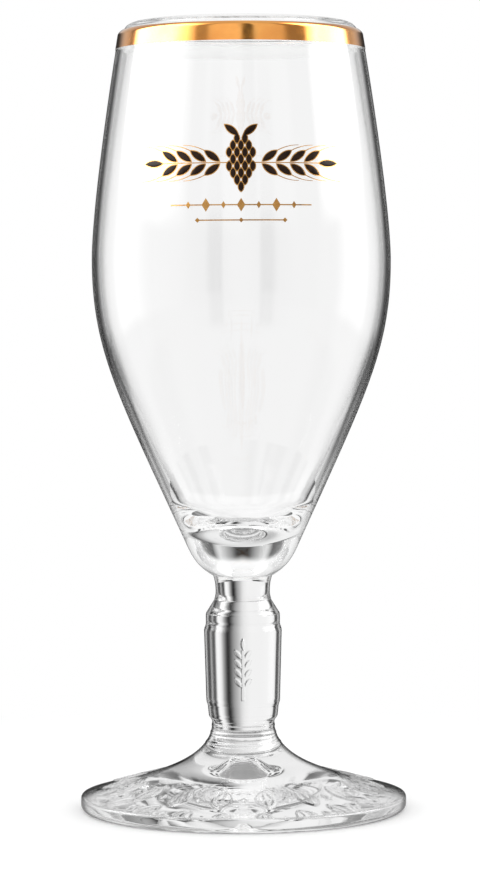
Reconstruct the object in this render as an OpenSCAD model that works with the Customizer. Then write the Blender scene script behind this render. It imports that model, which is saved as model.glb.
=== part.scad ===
// Chalice beer glass: a blown bowl on a pressed stem and a pressed foot, fused face to face,
// with a gilded band under the lip and an enamel ornament on the front of the bowl.
// Millimetres. +Z is up, the origin lies on the table under the middle of the foot, -Y is the front.
// Heights of the foot, stem and bowl stack: each piece starts where the one below it ends.

/* [Foot] */
// Diameter of the foot
foot_d = 80; // [76:1:88]
// Height of the foot from the table to its joint with the stem
foot_h = 21.4; // [19.5:0.1:24]
// Height at which the sloping top of the foot meets its rounded edge
foot_edge_h = 3.7; // [3.3:0.1:4.4]
// Slope of the foot's top beside the edge, in degrees
foot_slope_angle = 17; // [14:1:20]
// Radius of the rounding under the edge
foot_under_r = 1.6; // [1:0.1:2]
// Width of the flat ring that the glass stands on
contact_w = 2.2; // [1.5:0.1:3]
// Height of the hollow underside halfway in
hollow_h = 1.4; // [1:0.1:2]
// Diameter of the bell-shaped push-up where it leaves the underside
pushup_d = 16; // [14:0.5:20]
// Height of the push-up over the table
pushup_h = 9.4; // [8:0.1:11]
// Depth of the fine mould rings round the foot's neck
mould_ring_t = 0.12; // [0.05:0.01:0.2]

/* [Foot relief] */
// Number of moulded leaves round the foot
leaf_count = 18; // [12:1:20]
// Diameter of the circle that the leaves are centred on
leaf_circle_d = 60; // [58:1:62]
// Length of a leaf, measured outwards
leaf_l = 9.4; // [8:0.1:10]
// Width of a leaf
leaf_w = 5; // [4:0.1:5.6]
// Length of the small lozenge between two leaves
lozenge_l = 3.4; // [2.4:0.1:4]
// Height of the foot's moulding
foot_relief_t = 0.35; // [0.2:0.05:0.5]

/* [Stem] */
// Diameter of the joint between foot and stem
waist_d = 15.3; // [14.4:0.1:16.2]
// Height of the slope from that joint out to the lower ring
waist_h = 2.1; // [1.6:0.1:2.6]
// Diameter of the lower ring
ring_d = 17; // [16.4:0.1:17.6]
// Height of the lower ring
ring_h = 2.2; // [1.6:0.1:3]
// Height of the step from the lower ring to the panel
low_step_h = 0.9; // [0.6:0.1:1.4]
// Diameter of the panel at its bottom
panel_low_d = 18.1; // [17.8:0.1:18.6]
// Diameter of the panel at its top
panel_high_d = 19.1; // [18.7:0.1:20]
// Height of the panel between its steps
panel_h = 17.6; // [16.5:0.1:20]
// Height of the step from the panel to the collar
high_step_h = 1.3; // [0.9:0.1:1.8]
// Diameter of the collar over the panel
collar_d = 18.2; // [17.4:0.1:18.6]
// Height of the collar
collar_h = 2.7; // [2:0.1:3.6]
// Height of the cone from the collar in to the neck
cone_h = 3; // [2.2:0.1:4]
// Least diameter of the neck
neck_d = 13.3; // [12.6:0.1:13.8]
// Height of the neck up to its joint with the bowl
neck_h = 6.3; // [5:0.1:8]
// Height of the moulded ear on the panel
ear_relief_t = 0.35; // [0.2:0.05:0.5]

/* [Bowl] */
// Height of the bowl from its joint with the stem to the top of its lip
bowl_h = 134.9; // [130:0.5:145]
// Diameter of the joint between stem and bowl
joint_d = 14.5; // [13.9:0.1:15.2]
// Diameter at which the solid base turns into the bowl's side
base_d = 27.2; // [26:0.1:28.5]
// Height of that turn over the joint
base_h = 7.3; // [6.5:0.1:8]
// Lean of the bowl's side over the base, in degrees from upright
base_side_angle = 24.4; // [22:0.2:27]
// Greatest diameter of the bowl
belly_d = 73.1; // [70:0.5:77]
// Height of the belly over the joint
belly_h = 77.2; // [74:0.2:80]
// Diameter of the bowl under the gilded band
band_d = 60.8; // [59.5:0.1:62]
// Inward lean of the bowl's side under the band, in degrees from upright
band_side_angle = 9.3; // [8:0.1:11]
// Wall at the belly and above
wall_t = 1.7; // [1.3:0.1:2]
// Wall low on the side, where the inside begins to round
low_wall_t = 3.4; // [2.6:0.1:4]
// Glass under the middle of the bowl's inside, over the joint
floor_t = 9.5; // [8:0.1:11]

/* [Lip] */
// Diameter of the lip's crown
crown_d = 51.4; // [50:0.1:52.5]
// Radius at which the lip turns inwards
lip_turn_r = 3.15; // [2.8:0.05:3.4]
// Thickness of the lip
lip_t = 1.6; // [1.2:0.1:1.8]
// Height of the gilded band up to the shoulder
band_h = 3.4; // [2.4:0.1:4.4]
// Thickness of the white ground under the gilding
ground_t = 0.06; // [0.04:0.01:0.1]
// Thickness of the gilding
gilt_t = 0.06; // [0.04:0.01:0.1]

/* [Ornament] */
// Height of the ornament's ears over the belly
ornament_h = 22.3; // [20:0.5:24]
// Length of a kernel in an ear
kernel_l = 4.2; // [3.8:0.1:4.6]
// Width of a kernel
kernel_w = 1.5; // [1.3:0.1:1.7]
// Number of kernel pairs in an ear
pair_count = 4; // [2:1:4]
// Length of a scale on the hop cone
scale_l = 2.3; // [2:0.1:2.6]
// Width of a scale on the hop cone
scale_w = 1.2; // [1:0.1:1.4]
// Width of the gold line round each dark shape
edge_w = 0.2; // [0.14:0.02:0.26]
// Width of the gold awns and stalks
awn_w = 0.24; // [0.18:0.02:0.36]
// Length of the gold rule under the ears
rule_l = 33; // [28:0.5:36]
// Height of the lozenges on that rule
rule_h = 3.2; // [2.4:0.1:4]
// Thickness of each of the two enamel coats
enamel_t = 0.06; // [0.04:0.01:0.1]

/* [Hidden] */
$fn = 96;
glass_colour = [0.82, 0.9, 0.92, 0.45];
gold_colour = [0.85, 0.62, 0.27];
dark_colour = [0.11, 0.05, 0.02];
white_colour = [0.97, 0.97, 0.96];
// Straight pieces in a long curve, in the bowl's upper side, in a middling and in a short curve
long_steps = 16;
high_steps = 10;
steps = 10;
short_steps = 5;

stem_h = waist_h + ring_h + low_step_h + panel_h + high_step_h + collar_h + cone_h + neck_h;
stem_z = foot_h;
panel_z = stem_z + waist_h + ring_h + low_step_h;
bowl_z = stem_z + stem_h;
belly_z = bowl_z + belly_h;
lip_z = bowl_z + bowl_h;

// A cubic curve through its four points, its direction, and a point beside it on its left
function along(p, t) =
    pow(1 - t, 3) * p[0] + 3 * t * pow(1 - t, 2) * p[1] + 3 * t * t * (1 - t) * p[2] + pow(t, 3) * p[3];
function heading(p, t) =
    pow(1 - t, 2) * (p[1] - p[0]) + 2 * t * (1 - t) * (p[2] - p[1]) + t * t * (p[3] - p[2]);
function beside(p, t, gap) =
    let (v = heading(p, t)) along(p, t) + gap * [-v[1], v[0]] / norm(v);
function curve(p, n) = [for (i = [0:n]) along(p, i / n)];
function curve_beside(p, n, gap) = [for (i = [0:n]) beside(p, i / n, gap)];
function arc(centre, r, from, to, n) =
    [for (i = [0:n]) let (a = from + (to - from) * i / n) centre + r * [cos(a), sin(a)]];
function reversed(list) = [for (i = [len(list) - 1:-1:0]) list[i]];

// Foot

// Point where the rounded edge meets the sloping top, as a share of the foot's radius
edge_in_share = 0.987;
// Reach of the top's slope and of its upright neck, as shares of the foot's radius and height
slope_reach_share = 0.28;
neck_reach_share = 0.51;
contact_r = foot_d / 2 - foot_under_r;
edge_in = [edge_in_share * foot_d / 2, foot_edge_h];
foot_top = [
    edge_in,
    edge_in + slope_reach_share * foot_d / 2 * [-1, tan(foot_slope_angle)],
    [waist_d / 2, (1 - neck_reach_share) * foot_h],
    [waist_d / 2, foot_h]
];
// Upright part of the edge between its roundings, as a share of the edge's height
edge_side_share = 0.16;
// Handles of the edge's upper rounding, as a share of its own height
edge_pull_share = 0.55;
edge_low = [foot_d / 2, foot_under_r + edge_side_share * foot_edge_h];
edge_rounding = [
    edge_low,
    edge_low + [0, edge_pull_share * (foot_edge_h - edge_low[1])],
    edge_in + (foot_d / 2 - edge_in[0]) * [1, -tan(foot_slope_angle)],
    edge_in
];
// Handles of the push-up's bell, as shares of its radius
bell_crown_share = 0.5;
bell_skirt_share = 0.45;
// Height of the bell's foot over the hollow underside, as a share of the push-up
bell_rise_share = 0.06;
bell_foot = [pushup_d / 2, hollow_h + (pushup_h - hollow_h) * bell_rise_share];
underside = concat(
    curve([
        [0, pushup_h],
        [bell_crown_share * pushup_d / 2, pushup_h],
        bell_foot - [bell_skirt_share * pushup_d / 2, 0],
        bell_foot
    ], steps),
    [[(pushup_d / 2 + contact_r - contact_w) / 2, hollow_h]],
    [[contact_r - contact_w, 0]]
);
// Heights of the mould rings, and the height of each, as shares of the foot's height
mould_ring_shares = [0.97, 0.89, 0.78];
mould_ring_h_share = 0.03;

foot_outline = concat(
    underside,
    arc([contact_r, foot_under_r], foot_under_r, -90, 0, short_steps),
    curve(edge_rounding, short_steps),
    curve(foot_top, long_steps),
    [[0, foot_h]]
);
// Steps of the foot's top between which the moulding stands, and how deep it is rooted in the glass
relief_from_step = 1;
relief_to_step = 8;
relief_root_share = 2;
relief_ring = concat(
    [for (i = [relief_from_step:relief_to_step]) beside(foot_top, i / long_steps, -foot_relief_t)],
    [for (i = [relief_to_step:-1:relief_from_step]) beside(foot_top, i / long_steps, relief_root_share * foot_relief_t)]
);

module revolve(outline) rotate_extrude() polygon(outline);

// A pointed leaf along X: two arcs that meet at its tips, drawn out all round by a margin
module leaf(l, w, margin = 0) {
    r = (l * l + w * w) / (4 * w);
    intersection() {
        translate([0, r - w / 2]) circle(r + margin);
        translate([0, w / 2 - r]) circle(r + margin);
    }
}

module line_along(l, w) translate([0, -w / 2]) square([l, w]);

module lozenge(l, w) polygon([[-l / 2, 0], [0, -w / 2], [l / 2, 0], [0, w / 2]]);

// Width of a lozenge as a share of its length
lozenge_share = 0.62;

module foot_pattern() {
    step_angle = 360 / leaf_count;
    for (i = [0:leaf_count - 1]) {
        rotate(i * step_angle) translate([leaf_circle_d / 2, 0]) leaf(leaf_l, leaf_w);
        rotate((i + 1 / 2) * step_angle) translate([leaf_circle_d / 2, 0])
            lozenge(lozenge_l, lozenge_share * lozenge_l);
    }
}

module foot() color(glass_colour) {
    union() {
        revolve(foot_outline);
        intersection() {
            linear_extrude(foot_h) foot_pattern();
            revolve(relief_ring);
        }
        for (s = mould_ring_shares) mould_ring(s * foot_h);
    }
}

// Radius of the foot's neck at a height near its top, where it is close to upright
function neck_of_foot(z) = let (near = [for (p = curve(foot_top, long_steps)) if (p[1] <= z) p[0]]) min(near);

module mould_ring(z) translate([0, 0, z]) cylinder(h = mould_ring_h_share * foot_h, r = neck_of_foot(z) + mould_ring_t);

// Stem

// Outward bulge of the slopes beside the steps, as a share of the step
bevel_share = 0.4;
// Diameter of the cone's top as a share of the neck's least diameter, and height of the least diameter
cone_top_share = 1.06;
neck_least_share = 0.4;
ring_z = stem_z + waist_h;
panel_top_z = panel_z + panel_h;
collar_z = panel_top_z + high_step_h;
cone_z = collar_z + collar_h;
neck_z = cone_z + cone_h;
neck_least = [neck_d / 2, neck_z + neck_least_share * neck_h];

// Skin on the panel, from as deep in the glass as it stands out
panel_skin = [
    [panel_low_d / 2 - ear_relief_t, panel_z],
    [panel_low_d / 2 + ear_relief_t, panel_z],
    [panel_high_d / 2 + ear_relief_t, panel_top_z],
    [panel_high_d / 2 - ear_relief_t, panel_top_z]
];

function stem_outline() = concat(
    [[0, stem_z]],
    curve([
        [waist_d / 2, stem_z],
        [waist_d / 2, stem_z + waist_h / 2],
        [ring_d / 2, ring_z - waist_h / 2],
        [ring_d / 2, ring_z]
    ], short_steps),
    [[ring_d / 2 + bevel_share * (panel_low_d - ring_d) / 2, ring_z + ring_h]],
    [[panel_low_d / 2, panel_z]],
    [[panel_high_d / 2, panel_top_z]],
    [[panel_high_d / 2 - bevel_share * (panel_high_d - collar_d) / 2, panel_top_z + high_step_h / 2]],
    [[collar_d / 2, collar_z]],
    [[collar_d / 2, cone_z]],
    curve([
        [cone_top_share * neck_d / 2, neck_z],
        (neck_least + [cone_top_share * neck_d / 2, neck_z]) / 2,
        [neck_d / 2, (neck_least[1] + neck_z) / 2],
        neck_least
    ], short_steps),
    curve([
        neck_least,
        [neck_d / 2, (neck_least[1] + bowl_z) / 2],
        [(neck_d + joint_d) / 4, (neck_least[1] + 3 * bowl_z) / 4],
        [joint_d / 2, bowl_z]
    ], short_steps),
    [[0, bowl_z]]
);

// The moulded ear: kernels in pairs up a stalk, with one at its tip, as shares of the panel
ear_low_share = 0.06;
ear_stalk_share = 0.18;
ear_stalk_w_share = 0.045;
ear_kernel_l_share = 0.17;
ear_kernel_w_share = 0.065;
ear_pitch_share = 0.13;
ear_pair_count = 4;
ear_lean_angle = 36;

// An ear along +X: kernels of length l lean out from the stalk in pairs, with one more at its tip
module ear(l, w, pairs, pitch, lean, margin = 0) {
    for (i = [0:pairs - 1])
        for (side = [-1, 1])
            translate([i * pitch, side * w / 4]) rotate(side * lean) translate([l / 2, 0]) leaf(l, w, margin);
    translate([pairs * pitch + l / 2, 0]) leaf(l, w, margin);
}

module panel_ear() {
    translate([0, ear_low_share * panel_h]) rotate(90) {
        translate([ear_stalk_share * panel_h, 0])
            ear(
                ear_kernel_l_share * panel_h,
                ear_kernel_w_share * panel_h,
                ear_pair_count,
                ear_pitch_share * panel_h,
                ear_lean_angle
            );
        line_along(
            (ear_stalk_share + ear_pair_count * ear_pitch_share + ear_kernel_l_share / 2) * panel_h,
            ear_stalk_w_share * panel_h
        );
    }
}

module stem() color(glass_colour) {
    union() {
        revolve(stem_outline());
        intersection() {
            translate([0, 0, panel_z]) rotate([90, 0, 0]) linear_extrude(panel_high_d) panel_ear();
            revolve(panel_skin);
        }
    }
}

// Bowl

// Handles of the bowl's curves, as shares of the heights that they span
base_pull_share = 0.526;
belly_low_share = 0.315;
belly_high_share = 0.174;
band_pull_share = 0.403;
// Handles of the base's corner, as shares of its height
corner_low_share = 0.48;
corner_high_share = 0.42;
// Angle at which the base leaves the joint, from level
base_low_angle = 30;
base_pt = [base_d / 2, bowl_z + base_h];
belly_pt = [belly_d / 2, belly_z];
crown_pt = [crown_d / 2, lip_z];
turn_centre = crown_pt - [0, lip_turn_r];
turn_start_angle = 30;
turn_pt = turn_centre + lip_turn_r * [cos(turn_start_angle), sin(turn_start_angle)];
// Height of the shoulder over the band's side, as a share of the band's height
shoulder_share = 0.44;
shoulder_pt = [band_d / 2 - band_h * tan(band_side_angle), turn_pt[1] - shoulder_share * band_h];
band_pt = shoulder_pt + band_h * [tan(band_side_angle), -1];
low_side_h = belly_z - base_pt[1];
high_side_h = band_pt[1] - belly_z;

base_corner = [
    [joint_d / 2, bowl_z],
    [joint_d / 2, bowl_z] + corner_low_share * base_h * [1, tan(base_low_angle)],
    base_pt - corner_high_share * base_h * [tan(base_side_angle), 1],
    base_pt
];
low_side = [
    base_pt,
    base_pt + base_pull_share * low_side_h * [tan(base_side_angle), 1],
    belly_pt - [0, belly_low_share * low_side_h],
    belly_pt
];
high_side = [
    belly_pt,
    belly_pt + [0, belly_high_share * high_side_h],
    band_pt + band_pull_share * high_side_h * [tan(band_side_angle), -1],
    band_pt
];
// Handles of the shoulder's rounding, as shares of the band's height
shoulder_low_share = 0.2;
shoulder_high_share = 0.24;
// Direction in which the shoulder meets the lip, from level
shoulder_end_angle = 35;
shoulder = [
    shoulder_pt,
    shoulder_pt + shoulder_low_share * band_h * [-tan(band_side_angle), 1],
    turn_pt + shoulder_high_share * band_h * [cos(shoulder_end_angle), -sin(shoulder_end_angle)],
    turn_pt
];
// The gilded stretch of the bowl's outside, and the same stretch moved outwards by a thickness
function band_path(gap) = concat(
    [band_pt + gap * [cos(band_side_angle), sin(band_side_angle)]],
    curve_beside(shoulder, short_steps, -gap)
);

// Height on the side at which the inside begins to round into its floor, as a share of the side
floor_side_share = 0.11;
// Handles of the rounded floor, as shares of the inside's radius there
floor_flat_share = 0.42;
floor_pull_share = 0.33;
function side_wall(t) = wall_t + (low_wall_t - wall_t) * pow(1 - t, 3);
floor_side_pt = beside(low_side, floor_side_share, side_wall(floor_side_share));
floor_heading = heading(low_side, floor_side_share) / norm(heading(low_side, floor_side_share));
floor_pt = [0, bowl_z + floor_t];
floor_curve = [
    floor_pt,
    floor_pt + [floor_flat_share * floor_side_pt[0], 0],
    floor_side_pt - floor_pull_share * floor_side_pt[0] * floor_heading,
    floor_side_pt
];
inner_low_side = [for (i = [1:long_steps])
    let (t = floor_side_share + (1 - floor_side_share) * i / long_steps) beside(low_side, t, side_wall(t))];
inner_high_side = [for (i = [1:high_steps]) beside(high_side, i / high_steps, wall_t)];
lip_inside = curve([
    beside(high_side, 1, wall_t),
    beside(high_side, 1, wall_t) + band_h / 2 * [-tan(band_side_angle), 1],
    turn_centre + (lip_turn_r - lip_t) * [1, -1],
    turn_centre + (lip_turn_r - lip_t) * [1, 0]
], short_steps);

bowl_outside = concat(
    curve(base_corner, short_steps),
    curve(low_side, long_steps),
    curve(high_side, high_steps),
    curve(shoulder, short_steps),
    arc(turn_centre, lip_turn_r, turn_start_angle, 90, short_steps)
);
bowl_inside = concat(
    curve(floor_curve, steps),
    inner_low_side,
    inner_high_side,
    lip_inside,
    arc(turn_centre, lip_turn_r - lip_t, 0, 90, short_steps)
);
lip_end = arc(crown_pt - [0, lip_t / 2], lip_t / 2, 90, 270, steps);

module bowl() color(glass_colour) revolve(concat([[0, bowl_z]], bowl_outside, lip_end, reversed(bowl_inside)));

// Gilded band

module rim_band_ground() color(white_colour) revolve(concat(band_path(ground_t), reversed(band_path(0))));

module rim_band_gilding() color(gold_colour)
    revolve(concat(band_path(ground_t + gilt_t), reversed(band_path(ground_t))));

// Ornament

// Spacing of an ear's kernels along its stalk, its start from the middle, and the lean of its kernels
kernel_pitch_share = 0.79;
ear_start_share = 1.2;
kernel_lean_angle = 36;
// Length of an awn as a share of a kernel's, and its lean
awn_share = 1.25;
awn_lean_angle = 15;
// Rows of scales on the hop cone, from its top down, and their spacing as shares of a scale
scale_rows = [2, 3, 4, 3, 4, 3, 2, 1];
row_share = 0.7;
column_share = 1.54;
// Leaves beside the hop cone's top: length and width as shares of a kernel's, and lean
bract_l_share = 0.95;
bract_w_share = 0.95;
bract_lean_angle = 38;
// Places of the two gold rules below the ears as shares of a kernel, and sizes as shares of the first
rule_drop_share = 2.35;
fine_rule_drop_share = 3.2;
rule_lozenge_count = 7;
rule_line_share = 0.09;
small_lozenge_share = 0.55;
fine_rule_share = 0.62;
fine_lozenge_share = 0.36;
// Steps of the bowl's upper side between which the enamel lies
skin_from_step = 1;
skin_to_step = 9;

module both_sides() {
    children();
    mirror([1, 0]) children();
}

module ear_kernels(margin = 0) {
    both_sides() translate([ear_start_share * kernel_l, 0])
        ear(kernel_l, kernel_w, pair_count, kernel_pitch_share * kernel_l, kernel_lean_angle, margin);
}

// Stalk of each ear, and an awn on the tip of every kernel
module stalks_and_awns() {
    pitch = kernel_pitch_share * kernel_l;
    tip = [kernel_l * cos(kernel_lean_angle), kernel_l * sin(kernel_lean_angle) + kernel_w / 4];
    both_sides() translate([ear_start_share * kernel_l, 0]) {
        translate([-ear_start_share * kernel_l, 0]) line_along(ear_start_share * kernel_l + pair_count * pitch, awn_w);
        for (i = [0:pair_count - 1])
            for (side = [-1, 1])
                translate([i * pitch + tip[0], side * tip[1]]) rotate(side * awn_lean_angle)
                    line_along(awn_share * kernel_l, awn_w);
    }
}

module hop_cone(margin = 0) {
    rows = len(scale_rows);
    for (i = [0:rows - 1])
        for (j = [0:scale_rows[i] - 1])
            translate([
                (j - (scale_rows[i] - 1) / 2) * column_share * scale_w,
                ((rows - 1) / 2 - i) * row_share * scale_l
            ]) rotate(90) leaf(scale_l, scale_w, margin);
    both_sides() translate([scale_w / 2, len(scale_rows) * row_share * scale_l / 2]) rotate(bract_lean_angle)
        translate([bract_l_share * kernel_l / 2, 0])
            leaf(bract_l_share * kernel_l, bract_w_share * kernel_w, margin);
}

module dark_shapes(margin = 0) {
    ear_kernels(margin);
    hop_cone(margin);
}

module rules() {
    pitch = rule_l / (rule_lozenge_count + 1);
    fine_l = fine_rule_share * rule_l;
    fine_h = fine_lozenge_share * rule_h;
    line_w = rule_line_share * rule_h;
    translate([0, -rule_drop_share * kernel_l]) {
        translate([-rule_l / 2, 0]) line_along(rule_l, line_w);
        for (i = [1:rule_lozenge_count])
            let (h = rule_h * (i % 2 == 0 ? 1 : small_lozenge_share))
                translate([i * pitch - rule_l / 2, 0]) rotate(90) lozenge(h, lozenge_share * h);
    }
    translate([0, -fine_rule_drop_share * kernel_l]) {
        translate([-fine_l / 2, 0]) line_along(fine_l, line_w);
        for (x = [-1, 0, 1]) translate([x * fine_l / 2, 0]) lozenge(fine_h, fine_h);
    }
}

// Skin on the bowl's upper side between two distances from the glass
module skin(from, to) {
    steps_used = [skin_from_step:skin_to_step];
    revolve(concat(
        [for (i = steps_used) beside(high_side, i / high_steps, -to)],
        reversed([for (i = steps_used) beside(high_side, i / high_steps, -from)])
    ));
}

// A drawing in X and Y laid on the front of the bowl between two distances from the glass
module on_bowl(from, to) {
    intersection() {
        translate([0, 0, belly_z + ornament_h]) rotate([90, 0, 0]) linear_extrude(belly_d) children();
        skin(from, to);
    }
}

// The gold coat lies on the glass and shows as an edge round the dark coat printed over it
module ornament_gold() color(gold_colour) on_bowl(0, enamel_t) {
    dark_shapes(edge_w);
    stalks_and_awns();
    rules();
}

module ornament_dark() color(dark_colour) on_bowl(enamel_t, 2 * enamel_t) dark_shapes();

foot();
stem();
bowl();
rim_band_ground();
rim_band_gilding();
ornament_dark();
ornament_gold();
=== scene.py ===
"""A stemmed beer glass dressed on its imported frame: pressed glass, a gilded rim band and an enamel ornament.

Metres. +Z is up, the origin lies on the table under the middle of the foot, -Y is the front.
Sizes repeat the frame's own, written in millimetres times MM.
"""

import logging
import math
from dataclasses import dataclass
from enum import Enum
from typing import Callable, Sequence

import bpy
from bpy.types import Material, NodeSocket, Object
from mathutils import Matrix, Vector, noise


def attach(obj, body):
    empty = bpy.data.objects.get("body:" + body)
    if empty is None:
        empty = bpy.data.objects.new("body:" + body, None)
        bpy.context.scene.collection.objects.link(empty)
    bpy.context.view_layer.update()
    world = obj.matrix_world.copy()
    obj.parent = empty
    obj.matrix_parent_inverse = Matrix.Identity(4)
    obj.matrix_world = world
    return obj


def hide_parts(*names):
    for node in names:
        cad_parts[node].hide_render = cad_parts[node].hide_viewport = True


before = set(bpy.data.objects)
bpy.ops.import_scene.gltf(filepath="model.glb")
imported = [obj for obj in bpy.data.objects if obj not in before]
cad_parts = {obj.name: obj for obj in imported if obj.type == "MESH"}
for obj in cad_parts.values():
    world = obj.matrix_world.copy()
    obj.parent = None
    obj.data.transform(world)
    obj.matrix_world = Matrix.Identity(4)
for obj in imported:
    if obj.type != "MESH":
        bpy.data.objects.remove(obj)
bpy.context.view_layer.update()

Point = tuple[float, float]
Colour = tuple[float, float, float, float]
Stop = tuple[float, Colour]
Levels = tuple[Point, ...]
Inputs = dict[str | int, object]

MM = 0.001
ROOT = "root"
FULL_TURN = 2 * math.pi
WELD = 0.0002 * MM
JOINT_RINGS = 6
JOINT_REACH = 0.01 * MM
LEVEL = 0.99
JOINT_SLOT = 1
INSIDE_SLOT = 2
WHITE: Colour = (1.0, 1.0, 1.0, 1.0)
MIRROR = Matrix.Diagonal((-1, 1, 1, 1))
UPRIGHT = Matrix.Rotation(math.pi / 2, 4, "Z")
LOG = logging.getLogger("beer_glass")


class Node(Enum):
    """The frame's nodes."""

    FOOT = "foot"
    STEM = "stem"
    BOWL = "bowl"
    RIM_GROUND = "rim_band_ground"
    RIM_GILDING = "rim_band_gilding"
    ORNAMENT_DARK = "ornament_dark"
    ORNAMENT_GOLD = "ornament_gold"


class Slot(Enum):
    """The record's material slots."""

    CLEAR_GLASS = "clear_glass"
    BRIGHT_GOLD = "bright_gold"
    WHITE_ENAMEL = "white_enamel"
    DARK_ENAMEL = "dark_enamel"
    PRINTED_GOLD = "printed_gold"


# Curves and outlines


def unit(angle: float) -> Vector:
    """Returns the unit direction at an angle in degrees."""
    return Vector((math.cos(math.radians(angle)), math.sin(math.radians(angle))))


@dataclass(frozen=True)
class Cubic:
    """A cubic curve in the plane of radius and height, by its four points."""

    start: Vector
    lead: Vector
    pull: Vector
    end: Vector

    def point(self, t: float) -> Vector:
        """Returns the point at share t of the curve."""
        s = 1 - t
        return s**3 * self.start + 3 * t * s**2 * self.lead + 3 * t**2 * s * self.pull + t**3 * self.end

    def heading(self, t: float) -> Vector:
        """Returns the unit direction at share t of the curve."""
        s = 1 - t
        way = s**2 * (self.lead - self.start) + 2 * t * s * (self.pull - self.lead)
        return (way + t**2 * (self.end - self.pull)).normalized()

    def beside(self, t: float, gap: float) -> Vector:
        """Returns the point at share t moved by a gap to the left of the curve."""
        way = self.heading(t)
        return self.point(t) + gap * Vector((-way.y, way.x))

    def points(self, count: int, gap: float = 0.0) -> list[Vector]:
        """Returns the ends of a number of even stretches of the curve, or of the line beside it."""
        return [self.beside(i / count, gap) for i in range(count + 1)]

    def share_at(self, height: float, halvings: int = 24) -> float:
        """Finds where an upward curve passes a height.

        Args:
            height: The height.
            halvings: Number of times that the search halves its range.

        Returns:
            The share of the curve.
        """
        low, high = 0.0, 1.0
        for _ in range(halvings):
            middle = (low + high) / 2
            low, high = (middle, high) if self.point(middle).y < height else (low, middle)
        return low


def arc(centre: Vector, radius: float, start: float, end: float, count: int) -> list[Vector]:
    """Returns points of an arc between two angles in degrees, both ends included."""
    return [centre + radius * unit(start + (end - start) * i / count) for i in range(count + 1)]


def straight(start: Vector, end: Vector, count: int) -> list[Vector]:
    """Returns evenly spaced points between two points, without either end."""
    return [start.lerp(end, i / count) for i in range(1, count)]


def eased(corners: Sequence[Vector], radius: float, count: int) -> list[Vector]:
    """Rounds the corners of a line, as fire polishing does.

    Args:
        corners: The line's points. Its ends stay as they are.
        radius: Reach of each rounding along both sides of its corner.
        count: Number of stretches in each rounding.

    Returns:
        The rounded line's points.
    """
    line = [corners[0]]
    for before, corner, after in zip(corners, corners[1:], corners[2:]):
        reach = min(radius, 0.45 * (corner - before).length, 0.45 * (after - corner).length)
        start = corner + reach * (before - corner).normalized()
        end = corner + reach * (after - corner).normalized()
        for t in (i / count for i in range(count + 1)):
            line.append((1 - t) ** 2 * start + 2 * t * (1 - t) * corner + t**2 * end)
    return line + [corners[-1]]


def filled(line: Sequence[Vector], step: float) -> list[Vector]:
    """Puts points into each stretch of a line that is longer than a step.

    Args:
        line: The line's points.
        step: The longest stretch that stays whole.

    Returns:
        The fuller line's points.
    """
    full = [line[0]]
    for before, after in zip(line, line[1:]):
        full += straight(before, after, max(1, math.ceil((after - before).length / step)))
        full.append(after)
    return full


def paced(curve: Cubic, pace: Callable[[Vector], float], looks: int = 2000) -> list[Vector]:
    """Puts points on a curve as far apart as a function of the place says.

    Args:
        curve: The curve.
        pace: Gives the distance between points at a place.
        looks: Number of places that are tried.

    Returns:
        The points, both ends included.
    """
    line = [curve.point(0.0)]
    for i in range(1, looks):
        here = curve.point(i / looks)
        if (here - line[-1]).length >= pace(here):
            line.append(here)
    line[-1] = line[-1].lerp(line[-2], 0.5)
    return line + [curve.point(1.0)]


def smooth(value: float, low: float, high: float) -> float:
    """Returns 0 under low, 1 over high and an even ease between them."""
    share = min(1.0, max(0.0, (value - low) / (high - low)))
    return share * share * (3 - 2 * share)


def leaf_radius(length: float, width: float) -> float:
    """Returns the radius of the two arcs that make a pointed leaf."""
    return (length**2 + width**2) / (4 * width)


def leaf_depth(along: float, across: float, length: float, width: float) -> float:
    """Says how deep a point lies inside a pointed leaf.

    Args:
        along: The point's place along the leaf from its middle.
        across: The point's place across the leaf.
        length: The leaf's length.
        width: The leaf's width.

    Returns:
        The distance to the leaf's edge across it, under 0 outside the leaf.
    """
    radius = leaf_radius(length, width)
    half = math.sqrt(max(0.0, radius**2 - along**2)) - (radius - width / 2)
    return half - abs(across)


# Finishes


def grey(level: float) -> Colour:
    """Returns a grey of that level."""
    return (level, level, level, 1.0)


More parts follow.
